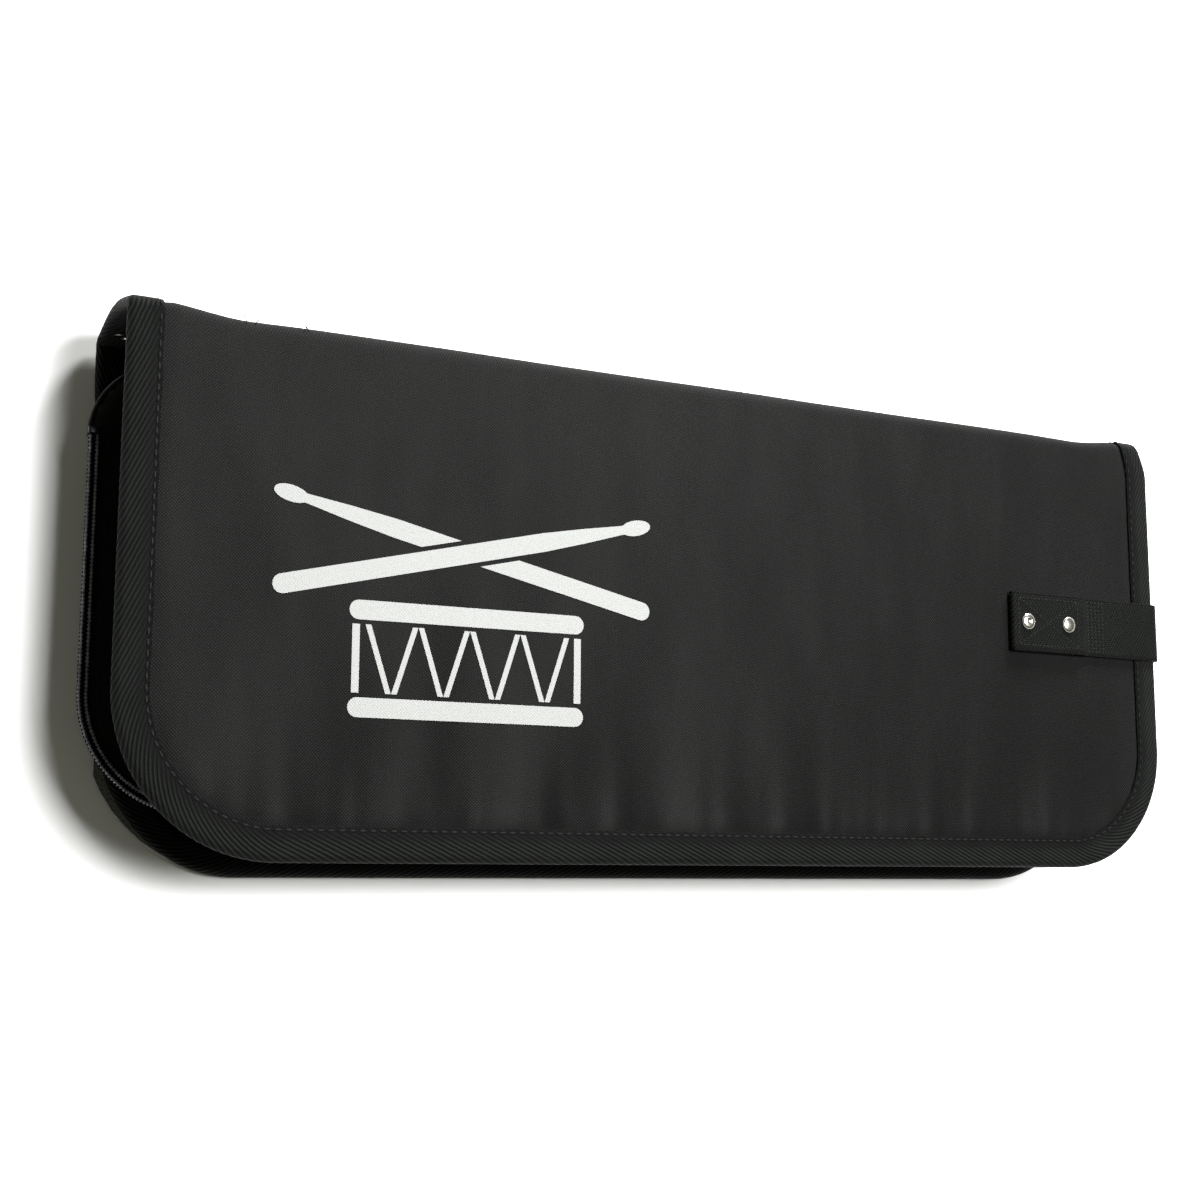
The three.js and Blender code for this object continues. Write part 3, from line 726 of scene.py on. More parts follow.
def settle(point):
    """Moves cloth off the flat pattern.

    Near the fold it stands out at the two ends and sinks a little between them, and its right end is
    drawn in. The back leaf's left edge is drawn in by the pocket that is sewn to it.
    """
    end = min(point.x - LEFT, RIGHT - point.x)
    share = RIGHT_FLARE if point.x > 0 else 1.0
    near_end = 1 - ramp(end, FLARE_FULL, FLARE_GONE)
    near_fold = ramp(point.y, FOLD_Y - 13 * MM, FOLD_Y + 2 * MM)
    height = min(max((point.z - SPINE_LOW) / (SPINE_HIGH - SPINE_LOW), 0.0), 1.0)
    out = 0.3 + 0.2 * height + math.sin(HALF_TURN * height) * 0.8
    shift = sizes().flare * share * out * near_end - SPINE_SAG * height * (1 - near_end)
    swell = SPINE_SAG * math.sin(HALF_TURN * height) * (1 - near_end)
    near_left = 1 - ramp(point.x - LEFT, 0, 60 * MM)
    drawn_in = POCKET_DRAW * near_left * (1 - ramp(point.y, 30 * MM, 84 * MM))
    drawn_in *= 1 - ramp(point.z, 6 * MM, 12 * MM)
    near_right = 1 - ramp(RIGHT - point.x, 0, 34 * MM)
    drawn_in -= RIGHT_DRAW * near_right * ramp(point.y, FOLD_Y - 10 * MM, FOLD_Y + 5 * MM) * height
    return point + Vector((drawn_in, (shift + swell) * near_fold, 0))


def fold_rows(leaf, low_y, step):
    """Rows across a leaf from its free edge over the fold.

    Each is (y, z) in mid-thickness, the (y, z) direction outwards, and the length up to there.
    """
    rows = [((y, leaf.mid_z), (0.0, leaf.up)) for y in spread(low_y, FOLD_Y, step)]
    for turn in spread(0, QUARTER_TURN, QUARTER_TURN / 6)[1:]:
        out = (math.sin(turn), leaf.up * math.cos(turn))
        rows.append(((FOLD_Y + out[0] * FOLD_RADIUS, leaf.crease_z + out[1] * FOLD_RADIUS), out))
    if leaf.spine_end != leaf.crease_z:
        for z in spread(leaf.crease_z, leaf.spine_end, step)[1:]:
            rows.append(((FOLD_Y + FOLD_RADIUS, z), (1.0, 0.0)))
    lengths = running_lengths([middle for middle, _ in rows])
    return [(middle, out, length) for (middle, out), length in zip(rows, lengths)]


def fold_between(leaf):
    """The bodies and the two ends of the stretch that bends when that leaf opens."""
    start = (0, FOLD_Y, leaf.crease_z + leaf.up * (FOLD_RADIUS + FACE))
    end = (0, FOLD_Y + FOLD_RADIUS + FACE, leaf.crease_z)
    return leaf.body, "spine", start, end


def round_corners(bm, leaf, inset):
    """Trims a leaf-sized sheet to the leaf's two round corners, an inset in from its edge."""
    for centre_x, radius, start in (
        (LEFT + LEFT_CORNER, LEFT_CORNER, HALF_TURN),
        (RIGHT - RIGHT_CORNER, RIGHT_CORNER, -QUARTER_TURN),
    ):
        trim_corner(bm, (centre_x, leaf.free_y + radius), radius - inset, start)


def leaf_cloth(leaf, offset, rise, inset, step, shade=None):
    """A sheet over a whole leaf, its fold and its share of the spine, trimmed to the leaf's corners."""
    columns = spread(LEFT + inset, RIGHT - inset, step)
    rows = fold_rows(leaf, leaf.free_y + inset, step)

    def place(i, j):
        (y, z), (out_y, out_z), _ = rows[j]
        x = columns[i]
        lift = offset + math.copysign(1, offset) * rise(x, y, leaf)
        return settle(Vector((x, y + out_y * lift, z + out_z * lift)))

    flip = (leaf.up > 0) != (offset > 0)
    bm = surface(
        len(columns) - 1, len(rows) - 1, place, lambda i, j: (columns[i], rows[j][2]), flip,
        (lambda i, j: shade(columns[i], rows[j][0][0], leaf)) if shade else None)
    round_corners(bm, leaf, inset)
    return bm


def leaf_piece(leaf, bm, layer, stands_for):
    """A leaf's cover or lining, as a piece with a wall as thick as the cloth."""
    made = piece(
        f"{leaf.name}_{layer}_cloth", bm, f"{layer}_cloth",
        fold=fold_between(leaf), stands_for=stands_for, wall=FABRIC)
    depth = fold_rows(leaf, leaf.free_y, 3 * MM)[-1][2]
    return made


def make_cover(leaf, stands_for):
    """The outside cloth, with its crown, drawn creases and painted shade in them."""
    bm = leaf_cloth(leaf, FACE, cover_rise, 4 * MM, 2.4 * MM, painted_cover_shade)
    return leaf_piece(leaf, bm, "cover", stands_for)


def make_lining(leaf, stands_for):
    """The inside cloth."""
    bm = leaf_cloth(leaf, -FACE, lining_rise, 6 * MM, 4 * MM)
    return leaf_piece(leaf, bm, "lining", stands_for)


def make_padding(leaf):
    """The foam inside a leaf, with the crown that lifts the cover."""
    low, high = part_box(f"{leaf.name}_foam")
    columns = spread(low.x, high.x, 7 * MM)
    rows = spread(low.y, high.y, 7 * MM)
    half = (high.z - low.z) / 2

    def place(i, j):
        x, y = columns[i], rows[j]
        rise = max(cover_rise(x, y, leaf), 0) * 0.5
        return settle(Vector((x, y, leaf.mid_z + leaf.up * (half + rise))))

    bm = surface(len(columns) - 1, len(rows) - 1, place, flip=leaf.up < 0)
    round_corners(bm, leaf, low.x - LEFT)
    made = piece(
        f"{leaf.name}_padding", bm, "padding_foam", ride=leaf.body,
        stands_for=[f"{leaf.name}_foam"], wall=2 * half)
    return made


def make_spine_padding():
    """The foam strip in the spine."""
    low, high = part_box("spine_foam")
    columns = spread(low.x, high.x, 6 * MM)
    rows = spread(low.z, high.z, 4 * MM)

    def place(i, j):
        return settle(Vector((columns[i], high.y, rows[j])))

    bm = surface(len(columns) - 1, len(rows) - 1, place, flip=True)
    made = piece(
        "spine_padding", bm, "padding_foam", ride="spine",
        stands_for=["spine_foam"], wall=high.y - low.y)
    return made


# ---- Binding -------------------------------------------------------------------------------

Station = namedtuple("Station", "point out up length")


def edge_stations(leaf, inset, step):
    """Stations along a leaf's edge: up the spine's left end, over the fold, round the leaf and back."""
    left, right = LEFT + inset, RIGHT - inset
    left_radius, right_radius = LEFT_CORNER - inset, RIGHT_CORNER - inset
    left_centre = Vector((LEFT + LEFT_CORNER, leaf.free_y + LEFT_CORNER))
    right_centre = Vector((RIGHT - RIGHT_CORNER, leaf.free_y + RIGHT_CORNER))
    up = Vector((0, 0, leaf.up))
    fold = [row for row in fold_rows(leaf, FOLD_Y - step, step) if row[0][0] > FOLD_Y + 1e-9]
    found = []
    for (y, z), (out_y, out_z), _ in reversed(fold):
        found.append((Vector((left, y, z)), Vector((-1, 0, 0)), Vector((0, out_y, out_z))))
    for y in spread(FOLD_Y, left_centre.y, step):
        found.append((Vector((left, y, leaf.mid_z)), Vector((-1, 0, 0)), up))
    for turn in spread(HALF_TURN, HALF_TURN * 1.5, step / left_radius)[1:]:
        out = Vector((math.cos(turn), math.sin(turn), 0))
        found.append((Vector((*left_centre, leaf.mid_z)) + out * left_radius, out, up))
    for x in spread(left_centre.x, right_centre.x, step)[1:]:
        found.append((Vector((x, leaf.free_y + inset, leaf.mid_z)), Vector((0, -1, 0)), up))
    for turn in spread(-QUARTER_TURN, 0, step / right_radius)[1:]:
        out = Vector((math.cos(turn), math.sin(turn), 0))
        found.append((Vector((*right_centre, leaf.mid_z)) + out * right_radius, out, up))
    for y in spread(right_centre.y, FOLD_Y, step)[1:]:
        found.append((Vector((right, y, leaf.mid_z)), Vector((1, 0, 0)), up))
    for (y, z), (out_y, out_z), _ in fold:
        found.append((Vector((right, y, z)), Vector((1, 0, 0)), Vector((0, out_y, out_z))))
    stations, length = [], 0.0
    for i, (point, out, up) in enumerate(found):
        if i:
            length += (point - found[i - 1][0]).length
        stations.append(Station(point, out, up, length))
    return stations


def along_stations(stations, pitch):
    """Places a pitch apart along the stations, with the direction of travel."""
    distance, places = pitch / 2, []
    for before, after in zip(stations, stations[1:]):
        while distance <= after.length:
            share = (distance - before.length) / max(after.length - before.length, 1e-9)
            places.append((
                before.point.lerp(after.point, share), after.point - before.point,
                before.out.lerp(after.out, share).normalized(),
                before.up.lerp(after.up, share).normalized()))
            distance += pitch
    return places


BINDING_FACE = FACE + 0.4 * MM      # from mid-thickness to the face of the tape


def binding_profile():
    """Points (out, up) across the tape, from the outside hem round the edge to the inside hem."""
    turn = BINDING_FACE
    leg = [(-TAPE_REACH, 0.86), (-TAPE_REACH * 0.975, 0.97), (-TAPE_REACH * 0.8, 1.0),
           (-TAPE_REACH * 0.62, 0.985), (-TAPE_REACH * 0.4, 1.0), (-turn * 1.3, 1.0)]
    round_edge = [
        (-turn + turn * math.sin(angle), math.cos(angle))
        for angle in spread(0, HALF_TURN, HALF_TURN / 8)
    ]
    profile = leg + round_edge + [(out, -up) for out, up in reversed(leg)]
    return [(out, up * turn) for out, up in profile]


def make_binding(leaf, stands_for):
    """Tape folded round a leaf's edge, with a slightly uneven hem."""
    stations = edge_stations(leaf, 0, 2.4 * MM)
    profile = binding_profile()
    across = running_lengths(profile)
    middle = across[-1] / 2

    def place(i, j):
        station = stations[i]
        out, up = profile[j]
        hem = ramp(-out, TAPE_REACH * 0.7, TAPE_REACH)
        uneven = hem * 0.35 * MM * ripple(station.length, 0, 11 * MM, leaf.up)
        thick = 1 + 0.05 * ripple(station.length, out, 6 * MM, 2.0)
        return settle(station.point + station.out * (out + uneven) + station.up * up * thick)

    bm = surface(
        len(stations) - 1, len(profile) - 1, place,
        lambda i, j: (stations[i].length, middle - across[j]))
    bmesh.ops.recalc_face_normals(bm, faces=bm.faces)
    point_out(bm, stations[len(stations) // 2])
    return piece(
        f"{leaf.name}_binding_tape", bm, "binding_tape",
        fold=fold_between(leaf), stands_for=stands_for, wall=sizes().tape)


def point_out(bm, station):
    """Turns a tape's faces over if they point into the leaf at a station."""
    nearest = min(bm.faces, key=lambda face: (face.calc_center_median() - station.point).length)
    if nearest.normal.dot(station.out) < 0:
        bmesh.ops.reverse_faces(bm, faces=bm.faces)


def make_binding_stitches(leaf):
    """One line of thread along the tape's hem on each face of a leaf."""
    bm = bmesh.new()
    pitch = sizes().stitch_pitch
    for side in (1, -1):
        stations = edge_stations(leaf, TAPE_REACH - 1.3 * MM, 2.4 * MM)
        for point, along, _, up in along_stations(stations, pitch):
            place = settle(point + up * side * (BINDING_FACE + 0.08 * MM))
            bead(bm, place, along, up, pitch * 0.72, 0.75 * MM, 0.5 * MM)
    return piece(
        f"{leaf.name}_binding_stitches", bm, "thread", fold=fold_between(leaf))


# ---- Stick sleeves -------------------------------------------------------------------------


def sleeve_profile(low, high):
    """Across a sleeve in mid-cloth: flange, wall, round corner and floor, and back up: (y, z)."""
    top = high.z - FABRIC / 2
    floor = low.z + FABRIC / 2
    flange, corner = 3.4 * MM, 4.6 * MM
    left, right = low.y + flange, high.y - flange
    points = [(low.y, top), (low.y + flange * 0.75, top)]
    points += [(left, z) for z in spread(top - 0.8 * MM, floor + corner, 2.5 * MM)]
    centre_y, centre_z = left + corner, floor + corner
    for turn in spread(HALF_TURN, HALF_TURN * 1.5, QUARTER_TURN / 5)[1:]:
        points.append((centre_y + corner * math.cos(turn), centre_z + corner * math.sin(turn)))
    middle = (low.y + high.y) / 2
    points += [(y, floor) for y in spread(left + corner, middle, 4 * MM)[1:]]
    return points + [(2 * middle - y, z) for y, z in reversed(points[:-1])]


def make_sleeve(index):
    """A cloth channel for a pair of sticks, with a taped hem at its mouth and two rows of stitches."""
    name = f"stick_sleeve_{index}"
    low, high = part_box(name)
    profile = sleeve_profile(low, high)
    columns = spread(low.x, high.x, 3.5 * MM)
    across = running_lengths(profile)
    middle_y, top = (low.y + high.y) / 2, high.z
    depth = high.z - low.z

    def place(i, j):
        x, (y, z) = columns[i], profile[j]
        hang = min(max((top - z) / depth, 0), 1)
        wrinkle = 0.55 * MM * ripple(x, across[j], 17 * MM, index * 3.0) * hang
        pinch = 1 - 0.05 * hang * math.sin(HALF_TURN * (x - low.x) / (high.x - low.x))
        return Vector((x, middle_y + (y - middle_y) * pinch, z + wrinkle + 0.5 * MM * hang))

    bm = surface(
        len(columns) - 1, len(profile) - 1, place, lambda i, j: (columns[i], across[j]), flip=True)
    made = piece(
        f"{name}_cloth", bm, "lining_cloth", ride="front_leaf",
        stands_for=[name], wall=0.7 * MM)

    hem_columns = spread(low.x - 0.7 * MM, low.x + 9 * MM, 2.4 * MM)
    inner = profile[2:-2]

    def hem_place(i, j):
        y, z = inner[j]
        swell = 0.75 * MM
        out_y = math.copysign(swell, y - middle_y) * min(1, abs(y - middle_y) / (10 * MM))
        out_z = -swell * ramp(top - z, depth * 0.5, depth * 0.85)
        return Vector((hem_columns[i], y + out_y * 0.9, z + out_z + 0.45 * MM))

    hem = surface(
        len(hem_columns) - 1, len(inner) - 1, hem_place,
        lambda i, j: (across[j], hem_columns[i] - low.x), flip=True)
    piece(f"{name}_hem", hem, "binding_tape", ride="front_leaf", wall=0.6 * MM)

    stitches = bmesh.new()
    for y in (low.y + 1.6 * MM, high.y - 1.6 * MM):
        line = (Vector((low.x, y, low.z + depth - FABRIC)), Vector((high.x, y, high.z - FABRIC)))
        stitch_line(stitches, line, Vector((0, 0, -1)), sizes().stitch_pitch)
    return piece(f"{name}_stitches", stitches, "thread", ride="front_leaf")


def make_sleeve_end():
    """The cloth wall that closes the far ends of the sleeves, scalloped to their round floors."""
    low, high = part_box("sleeve_end_seam")
    sleeves = [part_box(f"stick_sleeve_{i}") for i in (1, 2, 3)]
    columns = spread(low.y, high.y, 2 * MM)
    rows = 8

    def floor_at(y):
        edge = min(min(abs(y - box[0].y), abs(y - box[1].y)) for box in sleeves)
        return low.z + 7 * MM * (1 - ramp(edge, 2 * MM, 9 * MM))

    def place(i, j):
        y = columns[i]
        share = j / rows
        bulge = 0.3 * MM * ripple(y, share * 20 * MM, 9 * MM, 4.0)
        return Vector((high.x + bulge, y, high.z + (floor_at(y) - high.z) * share))

    bm = surface(
        len(columns) - 1, rows, place, lambda i, j: (columns[i], (high.z - low.z) * j / rows),
        flip=True)
    cut_area = sum(face.calc_area() for face in bm.faces)
    made = piece(
        "sleeve_end_cloth", bm, "lining_cloth", ride="front_leaf",
        stands_for=["sleeve_end_seam"], wall=FABRIC)
    return made


# ---- Zipped pocket -------------------------------------------------------------------------

ZIP_LOW, ZIP_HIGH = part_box("zip_tape_lower")
WALL_LOW, WALL_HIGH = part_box("zip_pocket_gusset")
POCKET_LEFT, POCKET_BOTTOM = ZIP_LOW.x, ZIP_LOW.y
POCKET_RIGHT = WALL_HIGH.x + (WALL_LOW.x - POCKET_LEFT)
POCKET_TOP = WALL_HIGH.y + (WALL_LOW.x - POCKET_LEFT)
ZIP_START_Y = ZIP_HIGH.y
ZIP_END_X = ZIP_HIGH.x
ZIP_CORNER, TOP_CORNER, END_CORNER = 42 * MM, 30 * MM, 20 * MM
CHAIN_WIDTH = 4.4 * MM
TOOTH_LENGTH = 1.8 * MM

POCKET_CORNERS = (
    (POCKET_LEFT + ZIP_CORNER, POCKET_BOTTOM + ZIP_CORNER, ZIP_CORNER, HALF_TURN),
    (POCKET_RIGHT - END_CORNER, POCKET_BOTTOM + END_CORNER, END_CORNER, -QUARTER_TURN),
    (POCKET_RIGHT - END_CORNER, POCKET_TOP - END_CORNER, END_CORNER, 0),
    (POCKET_LEFT + TOP_CORNER, POCKET_TOP - TOP_CORNER, TOP_CORNER, QUARTER_TURN),
)


def pocket_loop(step):
    """Points and outward directions round the pocket, from the left side's top down and round."""
    found = []
    for index, (centre_x, centre_y, radius, start) in enumerate(POCKET_CORNERS):
        centre = Vector((centre_x, centre_y, 0))
        for turn in spread(start, start + QUARTER_TURN, step / radius):
            out = Vector((math.cos(turn), math.sin(turn), 0))
            found.append((centre + out * radius, out))
        following = POCKET_CORNERS[(index + 1) % 4]
        out = Vector((math.cos(following[3]), math.sin(following[3]), 0))
        end = Vector((*following[:2], 0)) + out * following[2]
        start_point = found[-1][0]
        count = max(1, round((end - start_point).length / step))
        for i in range(1, count):
            found.append((start_point.lerp(end, i / count), out))
    return found


def zip_line(step):
    """The same along the zip only: down the left side, round the corner, to the closed end."""
    left = [
        (Vector((POCKET_LEFT, y, 0)), Vector((-1, 0, 0)))
        for y in spread(ZIP_START_Y, POCKET_BOTTOM + ZIP_CORNER, step)
    ]
    centre = Vector((POCKET_LEFT + ZIP_CORNER, POCKET_BOTTOM + ZIP_CORNER, 0))
    corner = []
    for turn in spread(HALF_TURN, HALF_TURN * 1.5, step / ZIP_CORNER)[1:]:
        out = Vector((math.cos(turn), math.sin(turn), 0))
        corner.append((centre + out * ZIP_CORNER, out))
    bottom = [
        (Vector((x, POCKET_BOTTOM, 0)), Vector((0, -1, 0)))
        for x in spread(centre.x, ZIP_END_X, step)[1:]
    ]
    return left + corner + bottom


def loop_lengths(line):
    """How far along a line of (point, outwards) pairs each point is."""
    lengths = [0.0]
    for (before, _), (after, _) in zip(line, line[1:]):
        lengths.append(lengths[-1] + (after - before).length)
    return lengths


def make_gusset():
    """The pocket's wall: cloth that leans out from the leaf up to the zip."""
    height = WALL_HIGH.z - WALL_LOW.z
    top_inset = WALL_LOW.x - POCKET_LEFT
    lean = 8 * MM
    loop = pocket_loop(3 * MM)
    loop.append(loop[0])
    lengths = loop_lengths(loop)
    rows = 7

    def place(i, j):
        point, out = loop[i]
        share = j / rows
        belly = 1.2 * MM * math.sin(HALF_TURN * share)
        crumple = 0.5 * MM * ripple(lengths[i % (len(loop) - 1)], share * 12 * MM, 9 * MM, 6.0)
        inset = top_inset + lean * (1 - share) - (belly + crumple * math.sin(HALF_TURN * share))
        return point - out * inset + Vector((0, 0, WALL_LOW.z + height * share))

    bm = surface(len(loop) - 1, rows, place, lambda i, j: (lengths[i], height * j / rows))
    bmesh.ops.remove_doubles(bm, verts=bm.verts, dist=1e-6)
    made = piece(
        "zip_pocket_wall", bm, "cover_cloth", ride="back_leaf",
        stands_for=["zip_pocket_gusset"], wall=FABRIC)
    return made


def pocket_edge(x, y):
    """Distance in from the pocket's outline, the way out, and how far this is a zipped side."""
    for index, (centre_x, centre_y, radius, start) in enumerate(POCKET_CORNERS):
        out = Vector((math.cos(start + HALF_TURN / 4), math.sin(start + HALF_TURN / 4), 0))
        offset = Vector((x - centre_x, y - centre_y, 0))
        if offset.x * out.x > 0 and offset.y * out.y > 0:
            return radius - offset.length, offset.normalized(), 1.0 if index == 0 else 0.0
    sides = (
        (x - POCKET_LEFT, Vector((-1, 0, 0)), ramp(ZIP_START_Y - y, 0, 7 * MM)),
        (y - POCKET_BOTTOM, Vector((0, -1, 0)), ramp(ZIP_END_X - x, 0, 7 * MM)),
        (POCKET_RIGHT - x, Vector((1, 0, 0)), 0.0),
        (POCKET_TOP - y, Vector((0, 1, 0)), 0.0),
    )
    return min(sides, key=lambda side: side[0])


def make_pocket_panel():
    """The pocket's face: pillowed cloth that ends under the zip tape and rolls over the other sides."""
    low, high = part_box("zip_pocket_panel")
    rim_z = WALL_HIGH.z + 0.5 * MM
    inset = 1.0 * MM
    columns = spread(POCKET_LEFT + inset, POCKET_RIGHT - inset, 3 * MM)
    rows = spread(POCKET_BOTTOM + inset, POCKET_TOP - inset, 3 * MM)
    bm = surface(
        len(columns) - 1, len(rows) - 1, lambda i, j: Vector((columns[i], rows[j], 0)),
        lambda i, j: (columns[i], rows[j]))
    for centre_x, centre_y, radius, start in POCKET_CORNERS:
        trim_corner(bm, (centre_x, centre_y), radius - inset, start, cuts=8)
    under_tape = low.x - POCKET_LEFT
    reach = 14 * MM
    for vert in bm.verts:
        x, y = vert.co.x, vert.co.y
        edge, out, zipped = pocket_edge(x, y)
        if edge < reach:
            squeezed = under_tape + (edge - inset) * (reach - under_tape) / (reach - inset)
            vert.co -= out * (squeezed - edge) * zipped
        roll = min(max((edge - inset) / (6 * MM), 0), 1)
        rolled = rim_z + (high.z - rim_z) * math.sqrt(1 - (1 - roll) ** 2)
        pillow = sizes().pillow * ramp(edge, 8 * MM, 55 * MM)
        crumple = 0.5 * MM * ripple(x, y, 26 * MM, 2.5) * ramp(edge, 6 * MM, 30 * MM)
        vert.co.z = (high.z - 0.1 * MM) * zipped + rolled * (1 - zipped) + pillow + crumple
    made = piece(
        "zip_pocket_face", bm, "cover_cloth", ride="back_leaf",
        stands_for=["zip_pocket_panel"], wall=FABRIC)
    return made


def make_pocket_piping():
    """A covered cord along the sides that have no zip."""
    rim_z = WALL_HIGH.z + 0.4 * MM
    loop = pocket_loop(3 * MM)
    line = [
        point - out * 1.1 * MM + Vector((0, 0, rim_z))
        for point, out in loop
        if not (out.x < -0.99 and point.y < ZIP_START_Y)
        and not (out.y < -0.99 and point.x < ZIP_END_X)
        and not (out.x < 0 and out.y < 0)
    ]
    bm = bmesh.new()
    tube(bm, line, 0.95 * MM)
    return piece("zip_pocket_piping", bm, "thread", ride="back_leaf")


def tape_band(line, lengths, insets, heights, across):
    """A narrow strip along the zip between two insets and two heights."""
    def place(i, j):
        point, out = line[i]
        share = j / across
        inset = insets[0] + (insets[1] - insets[0]) * share
        return point - out * inset + Vector((0, 0, heights[0] + (heights[1] - heights[0]) * share))

    width = math.dist((insets[0], heights[0]), (insets[1], heights[1]))
    return surface(
        len(line) - 1, across, place, lambda i, j: (lengths[i], width * (j / across - 0.5)))


def make_zip_tapes():
    """The tape that stands on the pocket's wall, the tape on its face, and the stitches there."""
    line = zip_line(2.5 * MM)
    lengths = loop_lengths(line)
    lower = tape_band(line, lengths, (2.4 * MM, 0.5 * MM), (ZIP_LOW.z, ZIP_HIGH.z), 4)
    piece("zip_tape_outer", lower, "zip_tape", ride="back_leaf",
          stands_for=["zip_tape_lower"], wall=0.6 * MM)
    low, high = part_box("zip_tape_upper")
    inner = low.x - POCKET_LEFT
    upper = tape_band(line, lengths, (inner, inner + 8 * MM), (high.z, high.z + 0.35 * MM), 4)
    piece("zip_tape_inner", upper, "zip_tape", ride="back_leaf",
          stands_for=["zip_tape_upper"], wall=0.6 * MM)
    bm = bmesh.new()
    up = Vector((0, 0, 1))
    pitch = 2.4 * MM
    seams = ((inner + 2.6 * MM, high.z + 0.2 * MM), (inner + 6.9 * MM, high.z + 0.4 * MM))
    for inset, height in seams:
        rail = [
            Station(point - out * inset + up * height, out, up, length)
            for (point, out), length in zip(line, lengths)
        ]
        for place, along, _, _ in along_stations(rail, pitch):
            bead(bm, place, along, up, pitch * 0.75, 0.6 * MM, 0.45 * MM)
    return piece("zip_tape_stitches", bm, "thread", ride="back_leaf")


def make_zip_coil(name, stands_for, first_inset, phase):
    """One side of the chain: a row of rounded teeth along a core cord."""
    line = zip_line(1.5 * MM)
    lengths = loop_lengths(line)
    low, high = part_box(stands_for)
    middle = (low.z + high.z) / 2
    up = Vector((0, 0, 1))
    pitch = sizes().tooth_pitch
    rail = [
        Station(point - out * (first_inset + TOOTH_LENGTH / 2) + up * middle, out, up, length)
        for (point, out), length in zip(line, lengths)
    ]
    bm = bmesh.new()
    for place, along, out, _ in along_stations(rail, pitch):
        tooth = place + along.normalized() * phase * pitch
        bead(bm, tooth, out, up, TOOTH_LENGTH, pitch * 0.62, 1.5 * MM)
    core = [station.point + up * 0.2 * MM for station in rail]
    tube(bm, core, 0.38 * MM, sides=6)
    return piece(name, bm, "zip_coil", ride="back_leaf", stands_for=[stands_for])


def make_zip_stop(name):
    """A rounded clip over one end of the chain."""
    low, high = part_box(name)
    bm = bmesh.new()
    rounded_box(bm, low, high, 0.45 * MM)
    return piece(f"{name}_clip", bm, "zip_metal", ride="back_leaf", stands_for=[name])


# ---- Slider and pull -----------------------------------------------------------------------


def make_slider():
    """Top plate with a narrower nose, under plate, bridge between them, and a bail on top."""
    low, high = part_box("zip_slider")
    _, coil_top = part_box("zip_coil_upper")
    plate = 1.1 * MM
    top_low = coil_top.z + 0.3 * MM
    centre = (low + high) / 2
    bm = bmesh.new()
    rounded_box(bm, (low.x, low.y, top_low), (high.x, high.y, top_low + plate), 0.4 * MM, 3)
    for vert in bm.verts:
        nose = ramp(centre.x - vert.co.x, -1 * MM, 4.5 * MM)
        vert.co.y = centre.y + (vert.co.y - centre.y) * (1 - 0.24 * nose)
    under_y = (centre.y - 1.3 * MM, centre.y + 1.9 * MM)
    rounded_box(bm, (low.x, under_y[0], low.z), (high.x, under_y[1], low.z + plate), 0.3 * MM)
    rounded_box(
        bm, (centre.x - 1.5 * MM, centre.y - 0.3 * MM, low.z + 0.2 * MM),
        (centre.x + 1.5 * MM, centre.y + 0.3 * MM, top_low + 0.5 * MM), 0.1 * MM)
    bail_z = high.z - 2.3 * MM
    ring = bmesh.new()
    section = [
        (1.35 * MM, -0.9 * MM), (2.2 * MM, -0.9 * MM), (2.3 * MM, -0.75 * MM),
        (2.3 * MM, 0.75 * MM), (2.2 * MM, 0.9 * MM), (1.35 * MM, 0.9 * MM), (1.35 * MM, -0.9 * MM),
    ]
    lathe(ring, section, Vector((centre.x, centre.y, bail_z)), (0, 1, 0), 24)
    join(bm, ring)
    return piece("zip_slider_body", bm, "zip_metal", ride="zip_slider",
                 stands_for=["zip_slider"], soft=35)


def make_pull():
    """A tapered tongue with a window for the bail, a sunk panel and a rounded tip."""
    low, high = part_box("zip_pull")
    bar = (high.z - low.z) / 2
    slider = (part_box("zip_slider")[0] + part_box("zip_slider")[1]) / 2
    half = 1.3 * MM
    lines_x = [low.x, low.x + 2.2 * MM, slider.x - bar - 2.6 * MM, slider.x - bar, high.x]
    lines_y = [low.y, slider.y - half, slider.y + half, high.y]

    def place(i, j):
        x = lines_x[i]
        narrow = 1 - 0.16 * ramp(x, lines_x[1], lines_x[3])
        y = slider.y + (lines_y[j] - slider.y) * (narrow if j in (0, 3) else 1)
        if i == 0:
            y = slider.y + (y - slider.y) * 0.6
        return Vector((x, y, low.z))

    bm = surface(len(lines_x) - 1, len(lines_y) - 1, place)
    window = [
        face for face in bm.faces
        if lines_x[2] < face.calc_center_median().x < lines_x[3]
        and abs(face.calc_center_median().y - slider.y) < half
    ]
    bmesh.ops.delete(bm, geom=window, context="FACES")
    raised = bmesh.ops.extrude_face_region(bm, geom=bm.faces[:])["geom"]
    verts = [item for item in raised if isinstance(item, bmesh.types.BMVert)]
    bmesh.ops.translate(bm, vec=(0, 0, high.z - low.z), verts=verts)
    bmesh.ops.recalc_face_normals(bm, faces=bm.faces)
    edges = [edge for edge in bm.edges if edge.calc_face_angle(0) > math.radians(30)]
    bmesh.ops.bevel(
        bm, geom=edges, offset=0.28 * MM, offset_type="OFFSET", segments=2, profile=0.5,
        affect="EDGES", material=-1)
    panel = [
        face for face in bm.faces
        if abs(face.normal.z) > 0.99 and face.calc_center_median().x < lines_x[2]
        and face.calc_center_median().x > lines_x[1]
    ]
    for side in (1, -1):
        faces = [face for face in panel if face.normal.z * side > 0]
        bmesh.ops.inset_region(bm, faces=faces, thickness=0.8 * MM, depth=-0.2 * MM)
    return piece("zip_pull_tongue", bm, "zip_metal", ride="zip_pull",
                 stands_for=["zip_pull"], soft=35)


# ---- Strap, tab and patches ----------------------------------------------------------------

